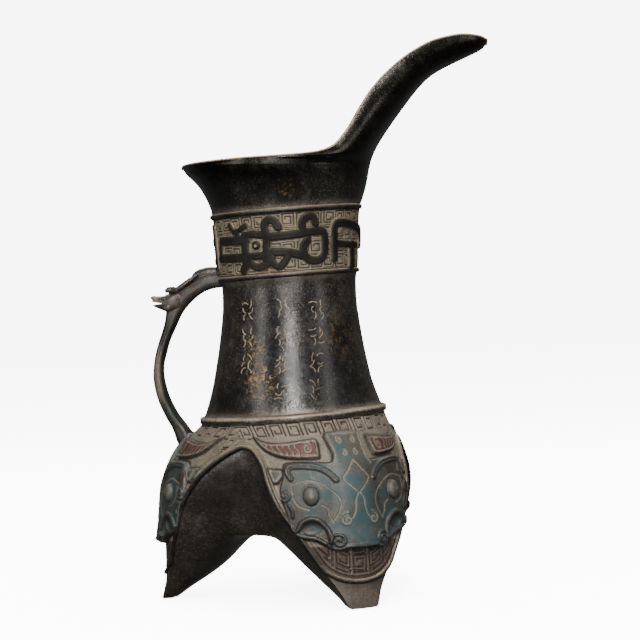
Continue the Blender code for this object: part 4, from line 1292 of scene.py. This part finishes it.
def build_handle(context):
    """The handle bar and the dragon head that bites it, joined into one closed piece."""
    half = context.scene.ewer_sizes.handle_width / MM / 2
    bar = [(o, i, half * (1.25 if n < 2 else 1.0)) for n, (o, i) in enumerate(HANDLE)]
    stations = dense_stations(bar, 7)
    rings = tube_rings(stations, 40, 2.7)
    shapes = [("bar", rings)]
    head = dense_stations([(t, b, w) for t, b, w in HEAD], 6)
    shapes.append(("head", tube_rings(head, 36, 2.6)))
    shapes.append(("crest", round_tube([(-43.4, 0.13, 142.7), (-40.8, 0.13, 145.5),
                                        (-36.6, 0.13, 146.8), (-31.0, 0.13, 146.9)],
                                       [1.5, 2.3, 2.4, 2.2])))
    for side in (1, -1):
        shapes.append(("ear", round_tube([(-50.5, side * 3.6, 138.6), (-53.2, side * 5.0, 139.6),
                                          (-55.4, side * 5.2, 139.0)], [1.3, 1.5, 0.7])))
        shapes.append(("horn", round_tube([(-53.6, side * 3.4, 137.6), (-49.0, side * 4.0, 140.2),
                                           (-44.6, side * 3.4, 143.2), (-40.6, side * 2.4, 146.0)],
                                          [0.9, 1.25, 1.15, 0.6])))
        shapes.append(("eye", ellipsoid((-56.2, side * 4.2, 135.6), (1.5, 1.1, 1.3))))
        shapes.append(("nostril", ellipsoid((-61.4, side * 1.9, 136.3), (1.3, 1.2, 0.9))))
        shapes.append(("jowl", ellipsoid((-54.7, side * 4.62, 131.5), (2.3, 1.25, 1.7))))
    made = []
    for name, rings in shapes:
        points, faces = closed_tube(rings)
        obj = new_piece("handle_" + name, points, faces, material_for(context, "handle bronze"))
        recalculate(obj)
        made.append(obj)
    base = made[0]
    for other in made[1:]:
        join = base.modifiers.new("join", "BOOLEAN")
        join.operation = "UNION"
        join.object = other
        join.solver = "EXACT"
    slit = np.array([(-64.5, -9, 135.0), (-64.5, -9, 132.8), (-57.0, -9, 133.6),
                     (-64.5, 9, 135.0), (-64.5, 9, 132.8), (-57.0, 9, 133.6)])
    wedge = [np.array([(0, 1, 2), (5, 4, 3)]), np.array([(0, 3, 4, 1), (1, 4, 5, 2), (2, 5, 3, 0)])]
    cutter = new_piece("handle_cut", slit, wedge, material_for(context, "handle bronze"))
    recalculate(cutter)
    cut = base.modifiers.new("jaw", "BOOLEAN")
    cut.operation = "DIFFERENCE"
    cut.object = cutter
    cut.solver = "EXACT"
    context.view_layer.update()
    graph = context.evaluated_depsgraph_get()
    mesh = bpy.data.meshes.new_from_object(base.evaluated_get(graph))
    for obj in made + [cutter]:
        bpy.data.objects.remove(obj, do_unlink=True)
    mesh.name = "handle_dragon"
    handle = bpy.data.objects.new("handle_dragon", mesh)
    context.scene.collection.objects.link(handle)
    count = len(mesh.vertices)
    points = np.empty(count * 3, np.float32)
    mesh.vertices.foreach_get("co", points)
    points = points.reshape(-1, 3) / MM
    set_patina(mesh, handle_patina(points))
    mesh.polygons.foreach_set("use_smooth", np.ones(len(mesh.polygons), bool))
    mesh.set_sharp_from_angle(angle=math.radians(50))
    return handle


def cord_tree():
    """Geometry nodes that turn every line of a mesh into a round cord."""
    tree = bpy.data.node_groups.new("Round cords", "GeometryNodeTree")
    face = tree.interface
    face.new_socket("Geometry", in_out="INPUT", socket_type="NodeSocketGeometry")
    width = face.new_socket("Width", in_out="INPUT", socket_type="NodeSocketFloat")
    sides = face.new_socket("Sides", in_out="INPUT", socket_type="NodeSocketInt")
    finish = face.new_socket("Finish", in_out="INPUT", socket_type="NodeSocketMaterial")
    face.new_socket("Geometry", in_out="OUTPUT", socket_type="NodeSocketGeometry")
    entry = tree.nodes.new("NodeGroupInput")
    leave = tree.nodes.new("NodeGroupOutput")
    line = tree.nodes.new("GeometryNodeMeshToCurve")
    ring = tree.nodes.new("GeometryNodeCurvePrimitiveCircle")
    half = tree.nodes.new("ShaderNodeMath")
    half.operation = "MULTIPLY"
    half.inputs[1].default_value = 0.5
    sweep = tree.nodes.new("GeometryNodeCurveToMesh")
    sweep.inputs["Fill Caps"].default_value = True
    smooth = tree.nodes.new("GeometryNodeSetShadeSmooth")
    real = tree.nodes.new("GeometryNodeRealizeInstances")
    paint = tree.nodes.new("GeometryNodeSetMaterial")
    link = tree.links.new
    link(entry.outputs["Geometry"], line.inputs[0])
    link(entry.outputs["Width"], half.inputs[0])
    link(half.outputs[0], ring.inputs["Radius"])
    link(entry.outputs["Sides"], ring.inputs["Resolution"])
    link(line.outputs[0], sweep.inputs["Curve"])
    link(ring.outputs[0], sweep.inputs["Profile Curve"])
    link(sweep.outputs[0], smooth.inputs[0])
    link(smooth.outputs[0], real.inputs[0])
    link(real.outputs[0], paint.inputs[0])
    link(entry.outputs["Finish"], paint.inputs["Material"])
    link(paint.outputs[0], leave.inputs[0])
    return tree, width.identifier, sides.identifier, finish.identifier


def sweep_lines(context, name, lines, closed, width, sides, kind):
    """Cords along lines of points in millimetres, made by the geometry nodes."""
    points = []
    edges = []
    for line in lines:
        base = len(points)
        points += [tuple(p) for p in line]
        edges += [(base + i, base + i + 1) for i in range(len(line) - 1)]
        if closed:
            edges.append((base + len(line) - 1, base))
    mesh = bpy.data.meshes.new(name + "_lines")
    mesh.from_pydata([((p[0] + AXIS_X) * MM, p[1] * MM, p[2] * MM) for p in points], edges, [])
    carrier = bpy.data.objects.new(name + "_lines", mesh)
    context.scene.collection.objects.link(carrier)
    tree, width_id, sides_id, finish_id = cord_tree()
    modifier = carrier.modifiers.new("cords", "NODES")
    modifier.node_group = tree
    modifier[width_id] = width * MM
    modifier[sides_id] = sides
    modifier[finish_id] = material_for(context, kind)
    context.view_layer.update()
    graph = context.evaluated_depsgraph_get()
    result = bpy.data.meshes.new_from_object(carrier.evaluated_get(graph))
    result.name = name
    carrier.modifiers.remove(modifier)
    bpy.data.objects.remove(carrier, do_unlink=True)
    obj = bpy.data.objects.new(name, result)
    context.scene.collection.objects.link(obj)
    recalculate(obj)
    return obj


def build_cords(context):
    """Rules of the band, the cord round all three legs and the line of the rim, with wear and
    painted highlights.
    """
    made = []
    theta = np.linspace(-180, 180, 241)[:-1]
    rules = []
    for z in (BAND_LOW + RULE_HALF, BAND_HIGH - RULE_HALF):
        zz = np.full(theta.shape, z)
        rules.append(place(theta, neck_at(zz) - 0.05, zz))
    obj = sweep_lines(context, "band_rules", rules, True, 2.3, 14, "cord bronze")
    made.append(obj)
    path = []
    for leg in (-60.0, 60.0, 180.0):
        for side in (-1, 1):
            run = cross_cord(lambda p: leg + p, side)
            rounded = run if side < 0 else run[::-1]
            for a, z in rounded[:-1]:
                path.append((leg + side * a, z))
    path = np.array(path)
    keep = np.ones(len(path), bool)
    gap = np.hypot(path[:, 0] - np.roll(path[:, 0], 1), path[:, 1] - np.roll(path[:, 1], 1))
    keep[gap < SAME_SPOT] = False
    path = path[keep]
    spot = place(path[:, 0], body_radius(path[:, 0], path[:, 1]), path[:, 1])
    spot = spot + normals(body_radius, path[:, 0], path[:, 1]) * 0.12
    obj = sweep_lines(context, "edge_cord", [spot], True, 2.2, 12, "cord bronze")
    made.append(obj)
    rows, _, rim_row = mouth_rows(column_angles(SHELL_FINE), 0.0, 5)
    outer = np.stack(eased_mouth(rows, rim_row))
    rim = np.concatenate([outer[rim_row:0:-1, 0], outer[0], outer[1:rim_row, -1]])
    gap = np.linalg.norm(rim - np.roll(rim, 1, axis=0), axis=1)
    rim_obj = sweep_lines(context, "rim_edge", [rim[gap > SAME_SPOT]], True, 0.85, 8, "cord bronze")
    # The rim line: pale wear that is also a painted highlight along the top of the rim.
    worn = np.zeros((len(rim_obj.data.vertices), 4))
    worn[:, 0] = 0.5
    worn[:, 3] = 1.0
    set_patina(rim_obj.data, worn)
    for obj in made:
        mesh = obj.data
        normal = np.empty(len(mesh.vertices) * 3, np.float32)
        mesh.vertices.foreach_get("normal", normal)
        normal = normal.reshape(-1, 3)
        # Dust and a painted highlight on the upward faces of the rules and the edge cord: their
        # tops lighter as if lit from above.
        patina = np.zeros((len(normal), 4))
        patina[:, 0] = np.clip(normal[:, 2] * 1.2, 0, 1) * 0.25
        patina[:, 3] = np.clip(normal[:, 2] * 1.5 - 0.45, 0, 1) * 0.9
        set_patina(mesh, patina)
    made.append(rim_obj)
    return made


def build_inscription(context):
    """Rows of shallow strokes in the place of the cast characters; they spell nothing."""
    rng = np.random.default_rng(42)
    lines = []
    columns = [((-33.7, 133.7), (-30.3, 98.6), 3), ((-1.3, 134.8), (-3.0, 85.3), 4),
               ((28.7, 133.2), (19.9, 86.7), 4)]
    for start, end, count in columns:
        for k in range(count):
            f = (k + 0.42) / count
            ca = start[0] + (end[0] - start[0]) * f
            cz = start[1] + (end[1] - start[1]) * f
            for mark in range(6):
                across = (mark % 2) * 3.4 - 1.7 + rng.uniform(-0.35, 0.35)
                up = (mark // 2) * 2.8 - 2.8 + rng.uniform(-0.3, 0.3)
                t = np.linspace(-1, 1, 9)
                tilt = math.radians(rng.choice([0, 12, 78, 90, 132, 48]))
                bend = rng.choice([-1, 1]) * rng.uniform(0.3, 0.95) * (1 - t * t)
                half = rng.uniform(1.2, 1.95)
                dx = across + half * t * math.cos(tilt) - bend * math.sin(tilt)
                dz = up + half * t * math.sin(tilt) + bend * math.cos(tilt)
                z = cz + dz
                r = neck_at(z)
                a = ca + np.degrees(dx / r)
                flat = z - RING_SLOPE * r * np.sin(np.radians(a))
                lines.append(place(a - 90.0, r - 0.16, flat))
    obj = sweep_lines(context, "inscription_strokes", lines, False, 0.66, 6, "cord bronze")
    patina = np.zeros((len(obj.data.vertices), 4))
    patina[:, 0] = 0.45
    patina[:, 3] = 0.7
    set_patina(obj.data, patina)
    return obj


def build_world(context):
    """A white backdrop for the eye that lights the bronze only a little."""
    world = bpy.data.worlds.new("studio")
    context.scene.world = world
    world.use_nodes = True
    tree = world.node_tree
    backdrop = tree.nodes["Background"]
    backdrop.inputs[0].default_value = (1.0, 1.0, 1.0, 1.0)
    backdrop.inputs[1].default_value = 7.5
    around = tree.nodes.new("ShaderNodeBackground")
    around.inputs[0].default_value = (1.0, 1.0, 1.0, 1.0)
    around.inputs[1].default_value = 0.10
    path = tree.nodes.new("ShaderNodeLightPath")
    choose = tree.nodes.new("ShaderNodeMixShader")
    tree.links.new(path.outputs["Is Camera Ray"], choose.inputs[0])
    tree.links.new(around.outputs[0], choose.inputs[1])
    tree.links.new(backdrop.outputs[0], choose.inputs[2])
    tree.links.new(choose.outputs[0], tree.nodes["World Output"].inputs[0])


# Lamps: name, place, aim, width, height, power.
LAMPS = (("key", (0.10, -0.62, 0.95), (0, 0, 0.11), 0.36, 0.36, 6.5),
         ("middle strip", (0.046, -0.80, 0.50), (-0.015, 0, 0.10), 0.03, 0.5, 9.5),
         ("left strip", (-0.62, -0.62, 0.36), (0, 0, 0.10), 0.14, 0.7, 3.4),
         ("right strip", (0.70, -0.45, 0.40), (0, 0, 0.12), 0.14, 0.8, 2.4),
         ("low fill", (0.05, -0.9, 0.06), (0, 0, 0.05), 0.6, 0.1, 2.6),
         ("back", (-0.1, 0.55, 0.85), (0, 0, 0.16), 0.5, 0.3, 4.0),
         ("rear right", (0.42, 0.50, 0.85), (0, 0, 0.10), 0.3, 0.4, 3.0),
         ("rear left", (-0.42, 0.50, 0.85), (0, 0, 0.10), 0.3, 0.4, 3.0),
         ("floor lamp", (0.0, -0.3, 2.2), (0, 0, 0), 2.2, 2.2, 200.0))


def build_stage(context):
    """Pale floor, soft studio light and the camera of the photograph."""
    look = context.scene.ewer_colours
    floor = bpy.data.meshes.new("floor")
    size = 6.0
    floor.from_pydata([(-size, -size, 0), (size, -size, 0), (size, size, 0), (-size, size, 0)],
                      [], [(0, 1, 2, 3)])
    obj = bpy.data.objects.new("floor", floor)
    context.scene.collection.objects.link(obj)
    material = bpy.data.materials.new("pale floor")
    material.use_nodes = True
    shader = material.node_tree.nodes["Principled BSDF"]
    shader.inputs["Base Color"].default_value = tuple(look.floor) + (1.0,)
    shader.inputs["Roughness"].default_value = 0.8
    shader.inputs["Emission Color"].default_value = tuple(look.floor) + (1.0,)
    shader.inputs["Emission Strength"].default_value = 8.0
    floor.materials.append(material)
    obj.visible_diffuse = False
    obj.visible_glossy = False
    build_world(context)
    only_floor = bpy.data.collections.new("lit by the floor lamp")
    only_floor.objects.link(obj)
    for name, spot, aim, wide, tall, power in LAMPS:
        light = bpy.data.lights.new(name, "AREA")
        light.shape = "RECTANGLE"
        light.size = wide
        light.size_y = tall
        light.energy = power
        lamp = bpy.data.objects.new(name, light)
        lamp.location = spot
        lamp.rotation_euler = (Vector(aim) - Vector(spot)).to_track_quat("-Z", "Y").to_euler()
        context.scene.collection.objects.link(lamp)
        if name == "floor lamp":
            lamp.light_linking.receiver_collection = only_floor
    turn = math.radians(4.5)
    roll = math.radians(2.5)
    ahead = Vector((-math.sin(turn), math.cos(turn), 0))
    right = Vector((math.cos(turn), math.sin(turn), 0))
    up = Vector((0, 0, 1))
    side = right * math.cos(roll) - up * math.sin(roll)
    above = right * math.sin(roll) + up * math.cos(roll)
    eye = Vector((961 * math.sin(turn) + AXIS_X, -961 * math.cos(turn), 139.0)) * MM
    basis = Matrix((side, above, -ahead)).transposed()
    data = bpy.data.cameras.new("camera")
    data.sensor_width = 36.0
    data.lens = 36.0 * 961.0 / 0.4537 / 640.0
    data.shift_x = 0.0505
    data.shift_y = -0.0529
    camera = bpy.data.objects.new("camera", data)
    camera.matrix_world = Matrix.Translation(eye) @ basis.to_4x4()
    context.scene.collection.objects.link(camera)
    context.scene.camera = camera


class EwerSizes(bpy.types.PropertyGroup):
    """Sizes of the casting that a user may change."""
    wall: bpy.props.FloatProperty(name="Wall", description="Thickness of the body and neck",
                                  default=0.0025, unit="LENGTH")
    lip: bpy.props.FloatProperty(name="Lip", description="Thickness of the mouth and spout",
                                 default=0.0021, unit="LENGTH")
    band_rise: bpy.props.FloatProperty(name="Band relief", default=0.0010, unit="LENGTH",
                                       description="Height of the dragons on the neck band")
    mask_rise: bpy.props.FloatProperty(name="Mask relief", default=0.0018, unit="LENGTH",
                                       description="Height of the beast masks on the legs")
    handle_width: bpy.props.FloatProperty(name="Handle width", default=0.0090, unit="LENGTH",
                                          description="Width of the handle bar across")


class EwerColours(bpy.types.PropertyGroup):
    """Colours of the patina."""
    dark: bpy.props.FloatVectorProperty(name="Dark bronze", subtype="COLOR", size=3,
                                        description="Blackened metal",
                                        default=(0.010, 0.009, 0.008))
    brown: bpy.props.FloatVectorProperty(name="Brown bronze", subtype="COLOR", size=3,
                                         description="Warmer metal between the dark areas",
                                         default=(0.022, 0.020, 0.017))
    grey: bpy.props.FloatVectorProperty(name="Grey bloom", subtype="COLOR", size=3,
                                        description="Cool film on the smooth metal",
                                        default=(0.048, 0.053, 0.056))
    dirt: bpy.props.FloatVectorProperty(name="Dirt", subtype="COLOR", size=3,
                                        description="Pale earth left in the hollows",
                                        default=(0.180, 0.150, 0.106))
    teal: bpy.props.FloatVectorProperty(name="Blue-green", subtype="COLOR", size=3,
                                        description="Blue-green patina on the masks",
                                        default=(0.026, 0.051, 0.054))
    red: bpy.props.FloatVectorProperty(name="Red brown", subtype="COLOR", size=3,
                                       description="Red patina on the wings",
                                       default=(0.060, 0.023, 0.019))
    rust: bpy.props.FloatVectorProperty(name="Rust", subtype="COLOR", size=3,
                                        description="Orange specks on the neck",
                                        default=(0.300, 0.170, 0.055))
    # Worn metal, also used for painted highlights along top edges, the rim and the eye domes.
    worn: bpy.props.FloatVectorProperty(name="Worn edge", subtype="COLOR", size=3,
                                        description="Metal rubbed bright on raised edges",
                                        default=(0.260, 0.190, 0.120))
    floor: bpy.props.FloatVectorProperty(name="Floor", subtype="COLOR", size=3,
                                         description="Studio floor",
                                         default=(0.90, 0.90, 0.90))


class EWER_OT_shell(bpy.types.Operator):
    """Make the hollow casting with its mouth, spout, neck and underside"""
    bl_idname = "ewer.shell"
    bl_label = "Hollow casting"

    def execute(self, context):
        shell = finish_piece(build_shell(context))
        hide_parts(NODE)
        return {"FINISHED"}


class EWER_OT_band(bpy.types.Operator):
    """Make the relief band of dragons and frets round the neck"""
    bl_idname = "ewer.band"
    bl_label = "Neck band"

    def execute(self, context):
        finish_piece(build_band(context))
        return {"FINISHED"}


class EWER_OT_masks(bpy.types.Operator):
    """Make the outside of the three legs with their beast masks"""
    bl_idname = "ewer.masks"
    bl_label = "Leg masks"

    def execute(self, context):
        for leg, name in zip(LEGS, ("leg_back", "leg_handle", "leg_front")):
            finish_piece(build_leg(context, leg, name))
        return {"FINISHED"}


class EWER_OT_handle(bpy.types.Operator):
    """Make the handle with its dragon head"""
    bl_idname = "ewer.handle"
    bl_label = "Dragon handle"

    def execute(self, context):
        finish_piece(build_handle(context))
        return {"FINISHED"}


class EWER_OT_cords(bpy.types.Operator):
    """Sweep the rules of the band, the cord round the legs and the line of the rim"""
    bl_idname = "ewer.cords"
    bl_label = "Rules, edge cord and rim line"

    def execute(self, context):
        for obj in build_cords(context):
            finish_piece(obj)
        return {"FINISHED"}


class EWER_OT_inscription(bpy.types.Operator):
    """Sweep the rows of shallow strokes on the neck"""
    bl_idname = "ewer.inscription"
    bl_label = "Inscription strokes"

    def execute(self, context):
        finish_piece(build_inscription(context))
        return {"FINISHED"}


class EWER_OT_stage(bpy.types.Operator):
    """Set the floor, the lights and the camera"""
    bl_idname = "ewer.stage"
    bl_label = "Studio"

    def execute(self, context):
        build_stage(context)
        return {"FINISHED"}


OPERATORS = (EWER_OT_shell, EWER_OT_band, EWER_OT_masks, EWER_OT_handle, EWER_OT_cords,
             EWER_OT_inscription, EWER_OT_stage)


class EWER_PT_panel(bpy.types.Panel):
    """Sizes, colours and steps of the ewer"""
    bl_label = "Bronze ewer"
    bl_idname = "EWER_PT_panel"
    bl_space_type = "VIEW_3D"
    bl_region_type = "UI"
    bl_category = "Ewer"

    def draw(self, context):
        for group in (context.scene.ewer_sizes, context.scene.ewer_colours):
            for key in group.__annotations__:
                self.layout.prop(group, key)
        for operator in OPERATORS:
            self.layout.operator(operator.bl_idname)


CLASSES = (EwerSizes, EwerColours) + OPERATORS + (EWER_PT_panel,)


def register():
    """Adds the classes and gives the Blender scene its sizes and colours."""
    for cls in CLASSES:
        bpy.utils.register_class(cls)
    bpy.types.Scene.ewer_sizes = bpy.props.PointerProperty(type=EwerSizes)
    bpy.types.Scene.ewer_colours = bpy.props.PointerProperty(type=EwerColours)


def unregister():
    """Takes the sizes, the colours and the classes away again."""
    del bpy.types.Scene.ewer_colours
    del bpy.types.Scene.ewer_sizes
    for cls in reversed(CLASSES):
        bpy.utils.unregister_class(cls)


def main():
    """Builds every piece and the stage."""
    register()
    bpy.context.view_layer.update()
    bpy.ops.ewer.shell()
    bpy.ops.ewer.band()
    bpy.ops.ewer.masks()
    bpy.ops.ewer.handle()
    bpy.ops.ewer.cords()
    bpy.ops.ewer.inscription()
    bpy.ops.ewer.stage()
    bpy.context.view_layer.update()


if __name__ == "__main__":
    main()
